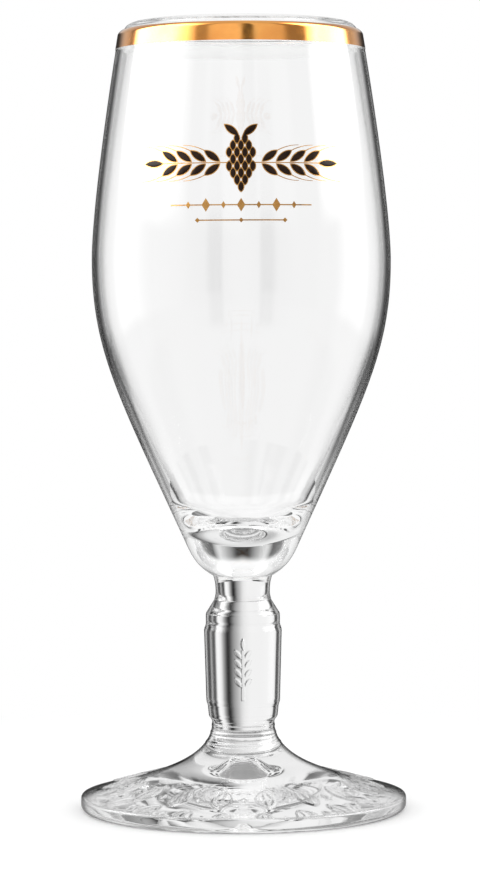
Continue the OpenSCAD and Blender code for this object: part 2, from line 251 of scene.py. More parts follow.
class Recipe:
    """A material or world whose nodes are added and joined one by one.

    The inputs of a mix node of colours go by their places, because several share a name.
    """

    FIRST_COLOUR = 6
    SECOND_COLOUR = 7
    MIXED_COLOUR = 2

    def __init__(self, tree: bpy.types.NodeTree) -> None:
        """Clears the node tree that the recipe fills."""
        self.tree = tree
        tree.nodes.clear()

    def feed(self, target: NodeSocket, value: object) -> None:
        """Sets an input, or joins an output to it.

        Args:
            target: The input.
            value: A number, a colour or an output.
        """
        if isinstance(value, NodeSocket):
            self.tree.links.new(value, target)
        else:
            target.default_value = value

    def node(self, kind: str, inputs: Inputs | None = None, **settings: object) -> bpy.types.Node:
        """Adds a shader node.

        Args:
            kind: The node's type name without its usual beginning.
            inputs: What its inputs are fed with, by name or place.
            **settings: Its properties by name.

        Returns:
            The new node.
        """
        made = self.tree.nodes.new("ShaderNode" + kind)
        for name, value in settings.items():
            setattr(made, name, value)
        for name, value in (inputs or {}).items():
            self.feed(made.inputs[name], value)
        return made

    def math(self, operation: str, *values: object) -> NodeSocket:
        """Returns the result of a math operation on numbers and outputs."""
        return self.node("Math", dict(enumerate(values)), operation=operation).outputs[0]

    def place(self, kind: str = "Object") -> bpy.types.Node:
        """Returns a node that gives X, Y and Z of a kind of coordinates."""
        return self.node("SeparateXYZ", {0: self.node("TexCoord").outputs[kind]})

    def bearing(self, x: NodeSocket, y: NodeSocket) -> NodeSocket:
        """Returns the bearing of a place or direction, 0 behind the glass and right positive."""
        return self.math("ARCTAN2", x, y)

    def ramp(self, factor: NodeSocket, stops: Sequence[Stop]) -> NodeSocket:
        """Adds a colour ramp.

        Args:
            factor: The output that drives the ramp.
            stops: Place and colour of each stop, from 0 to 1.

        Returns:
            The ramp's colour.
        """
        made = self.node("ValToRGB", {"Fac": factor})
        elements = made.color_ramp.elements
        while len(elements) < len(stops):
            elements.new(1.0)
        for element, (place, colour) in zip(elements, stops):
            element.position = place
            element.color = colour
        return made.outputs["Color"]

    def greys(self, factor: NodeSocket, points: Sequence[Point]) -> NodeSocket:
        """Returns a ramp of grey levels by places from 0 to 1."""
        return self.ramp(factor, [(place, grey(level)) for place, level in points])

    def by_length(self, length: NodeSocket, whole: float, points: Sequence[Point]) -> NodeSocket:
        """Returns grey levels by heights or radii up to a whole."""
        return self.greys(self.math("DIVIDE", length, whole), [(at / whole, level) for at, level in points])

    def by_bearing(self, bearing: NodeSocket, points: Sequence[Point]) -> NodeSocket:
        """Returns grey levels by bearings in degrees."""
        place = self.math("MULTIPLY_ADD", bearing, 1 / FULL_TURN, 0.5)
        return self.greys(place, [(0.5 + angle / 360, level) for angle, level in points])

    def rise(self, value: NodeSocket, start: float, end: float) -> NodeSocket:
        """Returns a share that eases from 0 to 1 between two values."""
        inputs = {"Value": value, "From Min": start, "From Max": end}
        return self.node("MapRange", inputs, interpolation_type="SMOOTHSTEP").outputs["Result"]

    def mix(self, share: object, first: object, second: object, blend: str = "MIX") -> NodeSocket:
        """Returns a colour mixed with another by a share."""
        inputs = {0: share, self.FIRST_COLOUR: first, self.SECOND_COLOUR: second}
        return self.node("Mix", inputs, data_type="RGBA", blend_type=blend).outputs[self.MIXED_COLOUR]

    def mix_shaders(self, share: NodeSocket, first: NodeSocket, second: NodeSocket) -> NodeSocket:
        """Returns a shader mixed with another by a share."""
        return self.node("MixShader", {0: share, 1: first, 2: second}).outputs[0]

    def emission(self, colour: object) -> NodeSocket:
        """Returns a shader that gives off a colour at a strength of one."""
        return self.node("Emission", {"Color": colour}).outputs[0]

    def noise(
        self, scale: float, detail: float = 2.0, rough: float = 0.5, stretch: Sequence[float] = (1, 1, 1)
    ) -> NodeSocket:
        """Adds a noise on Object coordinates.

        Args:
            scale: Number of lumps to a metre.
            detail: Number of finer layers.
            rough: Strength of each finer layer.
            stretch: Factors for the coordinates, smaller for lumps drawn out that way.

        Returns:
            The noise from 0 to 1.
        """
        place = self.node("TexCoord").outputs["Object"]
        mapped = self.node("Mapping", {"Vector": place, "Scale": stretch}).outputs["Vector"]
        inputs = {"Vector": mapped, "Scale": scale, "Detail": detail, "Roughness": rough}
        return self.node("TexNoise", inputs).outputs["Fac"]

    def bump(self, height: NodeSocket, depth: float, under: NodeSocket | None = None) -> NodeSocket:
        """Adds a bump.

        Args:
            height: The height from 0 to 1.
            depth: The height in metres that 1 stands for.
            under: A bump's normal to lay this one over.

        Returns:
            The bump's normal.
        """
        made = self.node("Bump", {"Distance": depth, "Height": height})
        if under is not None:
            self.feed(made.inputs["Normal"], under)
        return made.outputs["Normal"]

    def surface(self, shader: NodeSocket, kind: str = "OutputMaterial") -> None:
        """Joins the finished shader to the output."""
        self.node(kind, {"Surface": shader})

    def principled(self, **values: object) -> None:
        """Adds a principled shader as the surface, its inputs named with underscores for spaces."""
        inputs = {name.replace("_", " "): value for name, value in values.items()}
        self.surface(self.node("BsdfPrincipled", inputs).outputs["BSDF"])


def new_material(name: str) -> tuple[Material, Recipe]:
    """Returns a new material and its recipe."""
    material = bpy.data.materials.new(name)
    material.use_nodes = True
    return material, Recipe(material.node_tree)


@dataclass(frozen=True)
class ClearGlass:
    """Clear soda-lime glass with painted shade at its edges, and the soft ripples of its making.

    Its colour darkens where it is seen edge on: painted shade that stands in for the dark surroundings seen in
    the edges. The edge levels go by the share that the glass is turned from the eye. By height,
    painted_edge_shade_heights gives their strength and painted_edge_shade_wider what is added to that share.
    """

    name: str
    # edge: painted shade, grey levels by facing for the dark surroundings seen in the glass's edges
    edge: Levels
    ripple: float
    ripple_scale: float
    ripple_stretch: tuple[float, float, float] = (1.0, 1.0, 1.0)
    mirror: float = 1.0
    painted_edge_shade_heights: Levels = ((0.0, 1.0), (200 * MM, 1.0))
    painted_edge_shade_wider: Levels = ((0.0, 0.0), (200 * MM, 0.0))
    tall: float = 200 * MM
    ior: float = 1.52
    clear: Colour = (0.985, 0.992, 0.99, 1.0)
    ripple_rough: float = 0.45
    skin: float = 0.0004 * MM
    skin_scale: float = 1500.0

    def material(self) -> Material:
        """Returns the glass as a material."""
        material, recipe = new_material(self.name)
        height = recipe.place().outputs["Z"]
        facing = recipe.node("LayerWeight").outputs["Facing"]
        facing = recipe.math("ADD", facing, recipe.by_length(height, self.tall, self.painted_edge_shade_wider))
        # painted edge shade: the colour darkens by facing, standing in for dark surroundings seen in the edges
        dark = recipe.greys(facing, ((0.0, 1.0),) + self.edge)
        share = recipe.by_length(height, self.tall, self.painted_edge_shade_heights)
        ripples = recipe.noise(self.ripple_scale, 2.0, self.ripple_rough, self.ripple_stretch)
        recipe.principled(
            Transmission_Weight=1.0,
            Roughness=0.0,
            IOR=self.ior,
            Specular_Tint=grey(self.mirror),
            Base_Color=recipe.mix(share, self.clear, dark),
            Normal=recipe.bump(recipe.noise(self.skin_scale), self.skin, recipe.bump(ripples, self.ripple)),
        )
        return material


@dataclass(frozen=True)
class FusedJoint:
    """The face inside a fused joint, where glass meets glass and nothing is to be seen."""

    name: str = "fused_joint"
    cloud_scale: float = 200.0
    cloud: Levels = ((0.0, 0.97), (1.0, 1.0))

    def material(self) -> Material:
        """Returns the see-through face as a material."""
        material, recipe = new_material(self.name)
        clouds = recipe.greys(recipe.noise(self.cloud_scale, 1.0), self.cloud)
        recipe.principled(Alpha=0.0, Roughness=0.0, Base_Color=clouds)
        return material


@dataclass(frozen=True)
class Gilding:
    """Bright burnished gold under a thin fired glaze."""

    name: str = "bright_gilding"
    deep: Colour = (0.80, 0.30, 0.045, 1.0)
    pale: Colour = (0.90, 0.40, 0.075, 1.0)
    roughness: float = 0.12
    glaze_roughness: float = 0.05
    glaze_ior: float = 1.5
    cloud_scale: float = 160.0
    brush_scale: float = 420.0
    brush_stretch: tuple[float, float, float] = (1.0, 1.0, 0.12)
    brush_depth: float = 0.004 * MM

    def material(self) -> Material:
        """Returns the gilding as a material."""
        material, recipe = new_material(self.name)
        worn = ((0.3, 0.7 * self.roughness), (0.75, 1.5 * self.roughness))
        brushed = recipe.noise(self.brush_scale, stretch=self.brush_stretch)
        recipe.principled(
            Metallic=1.0,
            Coat_Weight=1.0,
            Coat_Roughness=self.glaze_roughness,
            Coat_IOR=self.glaze_ior,
            Base_Color=recipe.ramp(recipe.noise(self.cloud_scale, 3.0), ((0.3, self.deep), (0.7, self.pale))),
            Roughness=recipe.greys(recipe.noise(self.brush_scale), worn),
            Normal=recipe.bump(brushed, self.brush_depth),
        )
        return material


@dataclass(frozen=True)
class Enamel:
    """Fired enamel: a glossy coat with a fine orange-peel skin and a little cloud in its colour, and painted
    light where it is set to glow.
    """

    name: str
    deep: Colour
    pale: Colour
    roughness: float
    metallic: float = 0.0
    coat: float = 0.5
    coat_roughness: float = 0.08
    gloss: float = 0.5
    # painted light: emission that brightens the coat though it is no lamp
    painted_glow: float = 0.0
    cloud_scale: float = 700.0
    skin_scale: float = 2600.0
    skin_depth: float = 0.003 * MM

    def material(self) -> Material:
        """Returns the enamel as a material."""
        material, recipe = new_material(self.name)
        worn = ((0.3, 0.8 * self.roughness), (0.7, 1.3 * self.roughness))
        recipe.principled(
            Metallic=self.metallic,
            Coat_Weight=self.coat,
            Coat_Roughness=self.coat_roughness,
            Specular_IOR_Level=self.gloss,
            Emission_Strength=self.painted_glow,
            Base_Color=recipe.ramp(recipe.noise(self.cloud_scale, 3.0), ((0.3, self.deep), (0.7, self.pale))),
            Roughness=recipe.greys(recipe.noise(self.cloud_scale), worn),
            Normal=recipe.bump(recipe.noise(self.skin_scale), self.skin_depth),
        )
        return material


# The edge levels of each glass are painted shade: dark bands by facing that stand in for the surroundings seen
# in its edges.
BOWL_GLASS = ClearGlass(
    "bowl_glass",
    edge=((0.50, 1.0), (0.65, 0.97), (0.72, 0.7), (0.78, 0.35), (0.84, 0.3), (0.88, 0.06)),
    painted_edge_shade_heights=((64 * MM, 0.3), (74 * MM, 0.75), (92 * MM, 1.0), (183 * MM, 1.0), (187 * MM, 0.0)),
    painted_edge_shade_wider=((62 * MM, 0.06), (80 * MM, 0.12), (104 * MM, 0.12), (135 * MM, 0.04), (155 * MM, 0.0)),
    ripple=0.010 * MM,
    ripple_scale=45.0,
    ripple_stretch=(1.0, 1.0, 0.35),
)
BOWL_INSIDE = ClearGlass(
    "bowl_inside",
    edge=((1.0, 1.0),),
    ripple=BOWL_GLASS.ripple,
    ripple_scale=BOWL_GLASS.ripple_scale,
    ripple_stretch=BOWL_GLASS.ripple_stretch,
)
STEM_GLASS = ClearGlass(
    "stem_glass",
    edge=((0.42, 0.98), (0.49, 0.8), (0.54, 0.1), (0.6, 0.08), (0.66, 0.25), (0.72, 0.3), (0.9, 0.1)),
    mirror=0.35,
    ripple=0.010 * MM,
    ripple_scale=160.0,
    ripple_stretch=(1.0, 1.0, 0.4),
)
FOOT_GLASS = ClearGlass(
    "foot_glass",
    edge=((0.80, 1.0), (0.87, 0.3), (0.93, 0.03)),
    painted_edge_shade_wider=((0.0, 0.12), (3 * MM, 0.1), (5 * MM, 0.0), (10 * MM, 0.03), (15 * MM, 0.2), (22 * MM, 0.26)),
    mirror=0.6,
    ripple=0.030 * MM,
    ripple_scale=110.0,
)
# The white ground glows with painted light, which brightens its shaded inner side seen through the bowl.
WHITE_GROUND = Enamel(
    "white_ground", (0.95, 0.95, 0.94, 1.0), (0.98, 0.98, 0.975, 1.0), roughness=0.25, painted_glow=0.45
)
DARK_ENAMEL = Enamel(
    "dark_enamel",
    (0.010, 0.004, 0.002, 1.0),
    (0.026, 0.011, 0.005, 1.0),
    roughness=0.3,
    coat=0.05,
    gloss=0.12,
)
PRINTED_GOLD = Enamel(
    "printed_gold", (0.55, 0.25, 0.05, 1.0), (0.74, 0.40, 0.11, 1.0), roughness=0.28, metallic=0.9
)


# Mesh work


def deselect() -> None:
    """Leaves edit mode and deselects every object."""
    if bpy.context.object and bpy.context.object.mode != "OBJECT":
        bpy.ops.object.mode_set(mode="OBJECT")
    bpy.ops.object.select_all(action="DESELECT")


def pick(piece: Object) -> None:
    """Makes a piece the only one selected, and the active one."""
    deselect()
    piece.select_set(True)
    bpy.context.view_layer.objects.active = piece


def close_up(weld: bool) -> None:
    """Turns the active piece's faces outwards.

    Args:
        weld: Whether its seams and poles are welded first.
    """
    bpy.ops.object.mode_set(mode="EDIT")
    bpy.ops.mesh.select_all(action="SELECT")
    if weld:
        bpy.ops.mesh.remove_doubles(threshold=WELD)
    bpy.ops.mesh.normals_make_consistent(inside=False)
    bpy.ops.object.mode_set(mode="OBJECT")


def lathe(name: str, outline: Sequence[Vector], segments: int) -> Object:
    """Draws an outline point by point and turns it about the upright axis.

    Args:
        name: The piece's name.
        outline: Points in the plane of radius and height.
        segments: Number of steps in the full turn.

    Returns:
        The turned piece, closed and with its faces outwards.
    """
    deselect()
    bpy.ops.mesh.primitive_plane_add(size=MM)
    piece = bpy.context.object
    piece.name = piece.data.name = name
    bpy.ops.object.mode_set(mode="EDIT")
    bpy.ops.mesh.merge(type="CENTER")
    bpy.ops.transform.translate(value=(outline[0].x, 0.0, outline[0].y))
    for before, after in zip(outline, outline[1:]):
        step = (after.x - before.x, 0.0, after.y - before.y)
        bpy.ops.mesh.extrude_vertices_move(TRANSFORM_OT_translate={"value": step})
    bpy.ops.object.mode_set(mode="OBJECT")
    turn = piece.modifiers.new("turn", "SCREW")
    turn.axis, turn.angle, turn.screw_offset = "Z", FULL_TURN, 0.0
    turn.steps = turn.render_steps = segments
    turn.use_merge_vertices, turn.merge_threshold = True, WELD
    bpy.ops.object.modifier_apply(modifier=turn.name)
    close_up(weld=True)
    return piece


def reshape(piece: Object, move: Callable[[Vector], Vector]) -> None:
    """Moves each vertex of a piece to where a function puts it."""
    for vertex in piece.data.vertices:
        vertex.co = move(vertex.co)
    piece.data.update()


def raise_skin(piece: Object, height: Callable[[Vector], float]) -> None:
    """Moves each vertex of a piece outwards along its normal.

    Args:
        piece: The piece.
        height: Gives the way that the vertex at a place moves.
    """
    normals = [vertex.normal.copy() for vertex in piece.data.vertices]
    for vertex, normal in zip(piece.data.vertices, normals):
        lift = height(vertex.co)
        if lift:
            vertex.co += lift * normal
    piece.data.update()


def shade(piece: Object, sharp: float = 50.0) -> None:
    """Shades a piece smooth but for edges sharper than an angle in degrees."""
    pick(piece)
    bpy.ops.object.shade_smooth_by_angle(angle=math.radians(sharp))


def dress(piece: Object, *finishes: Material) -> None:
    """Gives a piece its materials, the first to all its faces."""
    piece.data.materials.clear()
    for finish in finishes:
        piece.data.materials.append(finish)


def settle(piece: Object, slot: Slot, *nodes: Node) -> None:
    """Puts a finished piece on the frame in place of its nodes, and reports it.

    Args:
        piece: The finished piece.
        slot: The record's slot that its finish comes from.
        *nodes: The nodes that it stands for.
    """
    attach(piece, ROOT)
    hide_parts(*[node.value for node in nodes])
    triangles = sum(len(face.vertices) - 2 for face in piece.data.polygons)
    LOG.info("%s: %d triangles, %s", piece.name, triangles, slot.value)


# Pieces of the glass


@dataclass
class TurnedGlass:
    """A piece of clear glass that is turned, moulded and fused to its neighbours over level faces."""

    name: str
    segments: int

    def outline(self) -> list[Vector]:
        """Returns the outline, from the axis out and back to the axis."""
        raise NotImplementedError

    def moulding(self, place: Vector) -> float:
        """Returns how far the surface is raised at a place."""
        raise NotImplementedError

    def joints(self) -> tuple[float, ...]:
        """Returns the heights of the fused joints."""
        raise NotImplementedError

    def build(self, *finishes: Material) -> Object:
        """Makes the piece.

        Args:
            *finishes: The finishes of its surface and of its joint faces, and then any others.

        Returns:
            The finished piece.
        """
        piece = lathe(self.name, self.outline(), self.segments)
        raise_skin(piece, self.moulding)
        dress(piece, *finishes)
        for face in piece.data.polygons:
            for height in self.joints():
                if abs(face.center.z - height) < JOINT_REACH and abs(face.normal.z) > LEVEL:
                    face.material_index = JOINT_SLOT
        shade(piece)
        return piece


@dataclass
class Foot(TurnedGlass):
    """The pressed foot: a sloping top with a ring of leaves, a rounded edge and a bell-shaped push-up."""

    name: str = "glass_foot"
    segments: int = 632
    diameter: float = 79.976 * MM
    height: float = 21.4 * MM
    edge_height: float = 3.7 * MM
    edge_in_share: float = 0.987
    edge_low_share: float = 0.16
    edge_lead_share: float = 0.55
    slope_angle: float = 17.0
    slope_share: float = 0.28
    neck_share: float = 0.51
    under_radius: float = 1.6 * MM
    contact_width: float = 2.2 * MM
    hollow_height: float = 1.4 * MM
    hollow_ease: float = 0.9 * MM
    hollow_step: float = 2.2 * MM
    pushup_diameter: float = 16 * MM
    pushup_height: float = 9.4 * MM
    bell_foot_share: float = 0.06
    bell_shares: Point = (0.5, 0.45)
    bell_end_share: float = 0.96
    waist_diameter: float = 15.3 * MM
    mould_ring: float = 0.12 * MM
    mould_ring_shares: tuple[float, ...] = (0.97, 0.89, 0.78)
    mould_ring_width_share: float = 0.014
    leaf_count: int = 18
    leaf_circle: float = 60 * MM
    leaf_length: float = 9.4 * MM
    leaf_width: float = 5 * MM
    leaf_margin: float = 0.5 * MM
    leaf_flank: Point = (-0.05 * MM, 0.45 * MM)
    rib_flank: Point = (0.1 * MM, 0.5 * MM)
    dip_flank: Point = (0.55 * MM, 1.1 * MM)
    dip_share: float = 0.6
    lozenge_length: float = 3.4 * MM
    lozenge_shape: float = 0.62
    lozenge_flank: Point = (0.0, 0.7 * MM)
    relief: float = 0.35 * MM
    leaf_step: float = 0.23 * MM
    leaf_step_margin: float = 0.6 * MM
    neck_step: float = 0.26 * MM
    neck_step_share: float = 0.74
    plain_step: float = 0.8 * MM

    @property
    def radius(self) -> float:
        """The foot's radius."""
        return self.diameter / 2

    @property
    def slope(self) -> Vector:
        """Outward direction of the sloping top, for a run of one."""
        return Vector((1, -math.tan(math.radians(self.slope_angle))))

    def joints(self) -> tuple[float, ...]:
        """Returns the height of the joint with the stem."""
        return (self.height,)

    def top(self) -> Cubic:
        """Returns the curve of the foot's top, from its edge up to its neck."""
        edge_in = Vector((self.edge_in_share * self.radius, self.edge_height))
        neck = Vector((self.waist_diameter / 2, self.height))
        lead = edge_in - self.slope_share * self.radius * self.slope
        return Cubic(edge_in, lead, Vector((neck.x, (1 - self.neck_share) * self.height)), neck)

    def edge(self) -> Cubic:
        """Returns the rounding from the upright edge to the sloping top."""
        low = Vector((self.radius, self.under_radius + self.edge_low_share * self.edge_height))
        high = self.top().start
        lead = low + Vector((0, self.edge_lead_share * (self.edge_height - low.y)))
        return Cubic(low, lead, high + (self.radius - high.x) * self.slope, high)

    def underside(self) -> list[Vector]:
        """Returns the outline under the foot, from the middle of the push-up to the outer edge."""
        bell = self.pushup_diameter / 2
        contact = Vector((self.radius - self.under_radius, 0))
        inner = contact - Vector((self.contact_width, 0))
        middle = Vector((0, self.pushup_height))
        rise = self.bell_foot_share * (self.pushup_height - self.hollow_height)
        bell_foot = Vector((bell, self.hollow_height + rise))
        lead, pull = (Vector((share * bell, 0)) for share in self.bell_shares)
        curve = Cubic(middle, middle + lead, bell_foot - pull, bell_foot)
        hollow = Vector(((bell + inner.x) / 2, self.hollow_height))
        corners = [curve.point(self.bell_end_share), bell_foot, hollow, inner, contact]
        below = eased(corners, self.hollow_ease, 3)
        edge = arc(contact + Vector((0, self.under_radius)), self.under_radius, -90, 0, 6)
        return curve.points(20)[:-1] + filled(below[:-1], self.hollow_step)[1:] + edge

    def ringed(self, point: Vector) -> Vector:
        """Returns a point of the neck pushed out where one of the fine mould rings stands."""
        width = self.mould_ring_width_share
        gaps = [(point.y / self.height - share) / width for share in self.mould_ring_shares]
        return point + Vector((self.mould_ring * min(sum(math.exp(-(gap**2)) for gap in gaps), 1.0), 0))

    def pace(self, point: Vector) -> float:
        """Says how far apart the top's points lie: close in the leaves and the mould rings.

        Args:
            point: The place on the top's curve.

        Returns:
            The distance between the points there.
        """
        if abs(point.x - self.leaf_circle / 2) < self.leaf_length / 2 + self.leaf_step_margin:
            return self.leaf_step
        return self.neck_step if point.y > self.neck_step_share * self.height else self.plain_step

    def outline(self) -> list[Vector]:
        """Returns the outline from the middle of the push-up round the edge to the middle of the joint."""
        top = [self.ringed(point) for point in paced(self.top(), self.pace)]
        top[-1].x = self.waist_diameter / 2
        middle = Vector((0, self.height))
        line = self.underside() + self.edge().points(6)[1:] + top[1:]
        return line + straight(line[-1], middle, JOINT_RINGS) + [middle]

    def moulding(self, place: Vector) -> float:
        """Says how high the leaves and lozenges stand on the foot's top.

        Args:
            place: The place on the surface.

        Returns:
            The height of the relief there.
        """
        radius = place.xy.length
        reach = self.leaf_length / 2 + self.leaf_margin
        if abs(radius - self.leaf_circle / 2) > reach or place.z < self.edge_height:
            return 0.0
        pitch = FULL_TURN / self.leaf_count
        turn = math.atan2(place.y, place.x)
        near = turn - pitch * round(turn / pitch)
        along, across = radius * math.cos(near) - self.leaf_circle / 2, radius * math.sin(near)
        depth = leaf_depth(along, across, self.leaf_length, self.leaf_width)
        rib = 1 - smooth(abs(across), *self.rib_flank)
        dip = smooth(depth, *self.dip_flank) * (1 - rib)
        leaf = smooth(depth, *self.leaf_flank) * (1 - self.dip_share * dip)
        near = turn - pitch * (math.floor(turn / pitch) + 0.5)
        along, across = radius * math.cos(near) - self.leaf_circle / 2, radius * math.sin(near)
        inside = self.lozenge_length / 2 - abs(along) - abs(across) / self.lozenge_shape
        return self.relief * max(leaf, smooth(inside, *self.lozenge_flank))


@dataclass
class Stem(TurnedGlass):
    """The pressed stem: a waist, a ring, a long panel with a moulded ear, a collar, a cone and a neck."""

    name: str = "glass_stem"
    segments: int = 440
    low: float = 21.4 * MM
    waist_diameter: float = 15.3 * MM
    waist_height: float = 2.1 * MM
    ring_diameter: float = 17 * MM
    ring_height: float = 2.2 * MM
    low_step_height: float = 0.9 * MM
    panel_low_diameter: float = 18.1 * MM
    panel_high_diameter: float = 19.1 * MM
    panel_height: float = 17.6 * MM
    high_step_height: float = 1.3 * MM
    collar_diameter: float = 18.2 * MM
    collar_height: float = 2.7 * MM
    cone_height: float = 3 * MM
    neck_diameter: float = 13.3 * MM
    neck_height: float = 6.3 * MM
    cone_top_share: float = 1.06
    least_neck_share: float = 0.4
    joint_diameter: float = 14.5 * MM
    bevel_share: float = 0.4
    corner_ease: float = 0.35 * MM
    side_step: float = 0.3 * MM
    panel_step: float = 0.2 * MM
    relief: float = 0.35 * MM
    pair_count: int = 4
    lean_angle: float = 36.0
    ear_foot_share: float = 0.06
    ear_width_share: float = 0.32
    first_kernel_share: float = 0.18
    kernel_pitch_share: float = 0.13
    kernel_length_share: float = 0.17
    kernel_width_share: float = 0.065
    kernel_flank: Point = (-0.02 * MM, 0.22 * MM)
    stalk_share: float = 0.7
    stalk_flank: Point = (0.25 * MM, 0.45 * MM)
    stalk_level: float = 0.8

    @property
    def panel_low(self) -> float:
        """Height of the panel's lower edge."""
        return self.low + self.waist_height + self.ring_height + self.low_step_height

    @property
    def panel_high(self) -> float:
        """Height of the panel's upper edge."""
        return self.panel_low + self.panel_height

    @property
    def collar_low(self) -> float:
        """Height of the collar's lower edge."""
        return self.panel_high + self.high_step_height

    @property
    def neck_low(self) -> float:
        """Height of the cone's top, where the neck starts."""
        return self.collar_low + self.collar_height + self.cone_height

    @property
    def high(self) -> float:
        """Height of the joint with the bowl."""
        return self.neck_low + self.neck_height

    def joints(self) -> tuple[float, ...]:
        """Returns the heights of the joints with the foot and the bowl."""
        return self.low, self.high

    def side(self, waist: Cubic, cone_top: Vector) -> list[Vector]:
        """Returns the stepped side from the waist up to the cone.

        Args:
            waist: The waist's curve, where the side starts.
            cone_top: The cone's upper edge, which the side runs towards.

        Returns:
            The side's points.
        """
        low_bevel = self.bevel_share * (self.panel_low_diameter - self.ring_diameter) / 2
        high_bevel = self.bevel_share * (self.panel_high_diameter - self.collar_diameter) / 2
        corners = [
            waist.end,
            waist.end + Vector((low_bevel, self.ring_height)),
            Vector((self.panel_low_diameter / 2, self.panel_low)),
            Vector((self.panel_high_diameter / 2, self.panel_high)),
            Vector((self.panel_high_diameter / 2 - high_bevel, self.panel_high + self.high_step_height / 2)),
            Vector((self.collar_diameter / 2, self.collar_low)),
            Vector((self.collar_diameter / 2, self.collar_low + self.collar_height)),
            cone_top,
        ]
        return filled(eased(corners, self.corner_ease, 4)[:-1], self.side_step)

    def outline(self) -> list[Vector]:
        """Returns the outline from the joint with the foot to the joint with the bowl."""
        ring_low = self.low + self.waist_height
        waist = Cubic(
            Vector((self.waist_diameter / 2, self.low)),
            Vector((self.waist_diameter / 2, self.low + self.waist_height / 2)),
            Vector((self.ring_diameter / 2, ring_low - self.waist_height / 2)),
            Vector((self.ring_diameter / 2, ring_low)),
        )
        cone_top = Vector((self.cone_top_share * self.neck_diameter / 2, self.neck_low))
        least_height = self.neck_low + self.least_neck_share * self.neck_height
        least = Vector((self.neck_diameter / 2, least_height))
        low_pull = Vector((least.x, (least.y + self.neck_low) / 2))
        low_neck = Cubic(cone_top, (least + cone_top) / 2, low_pull, least)
        high_neck = Cubic(
            least,
            Vector((least.x, (least.y + self.high) / 2)),
            Vector(((self.neck_diameter + self.joint_diameter) / 4, (least.y + 3 * self.high) / 4)),
            Vector((self.joint_diameter / 2, self.high)),
        )
        side = self.side(waist, cone_top)
        line = waist.points(8) + side[1:] + low_neck.points(10)[1:] + high_neck.points(14)[1:]
        dense = []
        for before, after in zip(line, line[1:]):
            on_panel = self.panel_low < (before.y + after.y) / 2 < self.panel_high
            halved = on_panel and (after - before).length > self.panel_step
            dense += [before] + straight(before, after, 2 if halved else 1)
        dense.append(line[-1])
        low_end, high_end = Vector((0, self.low)), Vector((0, self.high))
        low_face = [low_end] + straight(low_end, dense[0], JOINT_RINGS)
        return low_face + dense + straight(dense[-1], high_end, JOINT_RINGS) + [high_end]

    def kernels(self) -> list[tuple[Vector, float]]:
        """Returns the middle and the lean of each kernel of the moulded ear, from the ear's foot upwards."""
        tall = self.panel_height
        lean = math.radians(self.lean_angle)
        half = self.kernel_length_share * tall / 2
        places = []
        for i in range(self.pair_count):
            for side in (-1, 1):
                height = (self.first_kernel_share + i * self.kernel_pitch_share) * tall
                root = Vector((side * self.kernel_width_share * tall / 4, height))
                places.append((root + half * Vector((side * math.sin(lean), math.cos(lean))), side * lean))
        top = (self.first_kernel_share + self.pair_count * self.kernel_pitch_share) * tall + half
        return places + [(Vector((0, top)), 0.0)]

    def moulding(self, place: Vector) -> float:
        """Says how high the moulded ear stands on the panel.

        Args:
            place: The place on the surface.

        Returns:
            The height of the relief there.
        """
        tall = self.panel_height
        here = Vector((place.x, place.z - self.panel_low - self.ear_foot_share * tall))
        wide = self.ear_width_share * tall / 2
        if place.y > 0 or abs(here.x) > wide or here.y <= 0 or place.z >= self.panel_high:
            return 0.0
        length, width = self.kernel_length_share * tall, self.kernel_width_share * tall
        height = 0.0
        for middle, lean in self.kernels():
            off = here - middle
            along = off.x * math.sin(lean) + off.y * math.cos(lean)
            across = off.x * math.cos(lean) - off.y * math.sin(lean)
            if abs(along) < length / 2:
                height = max(height, smooth(leaf_depth(along, across, length, width), *self.kernel_flank))
        if here.y < self.stalk_share * tall:
            height = max(height, self.stalk_level * (1 - smooth(abs(here.x), *self.stalk_flank)))
        return self.relief * height


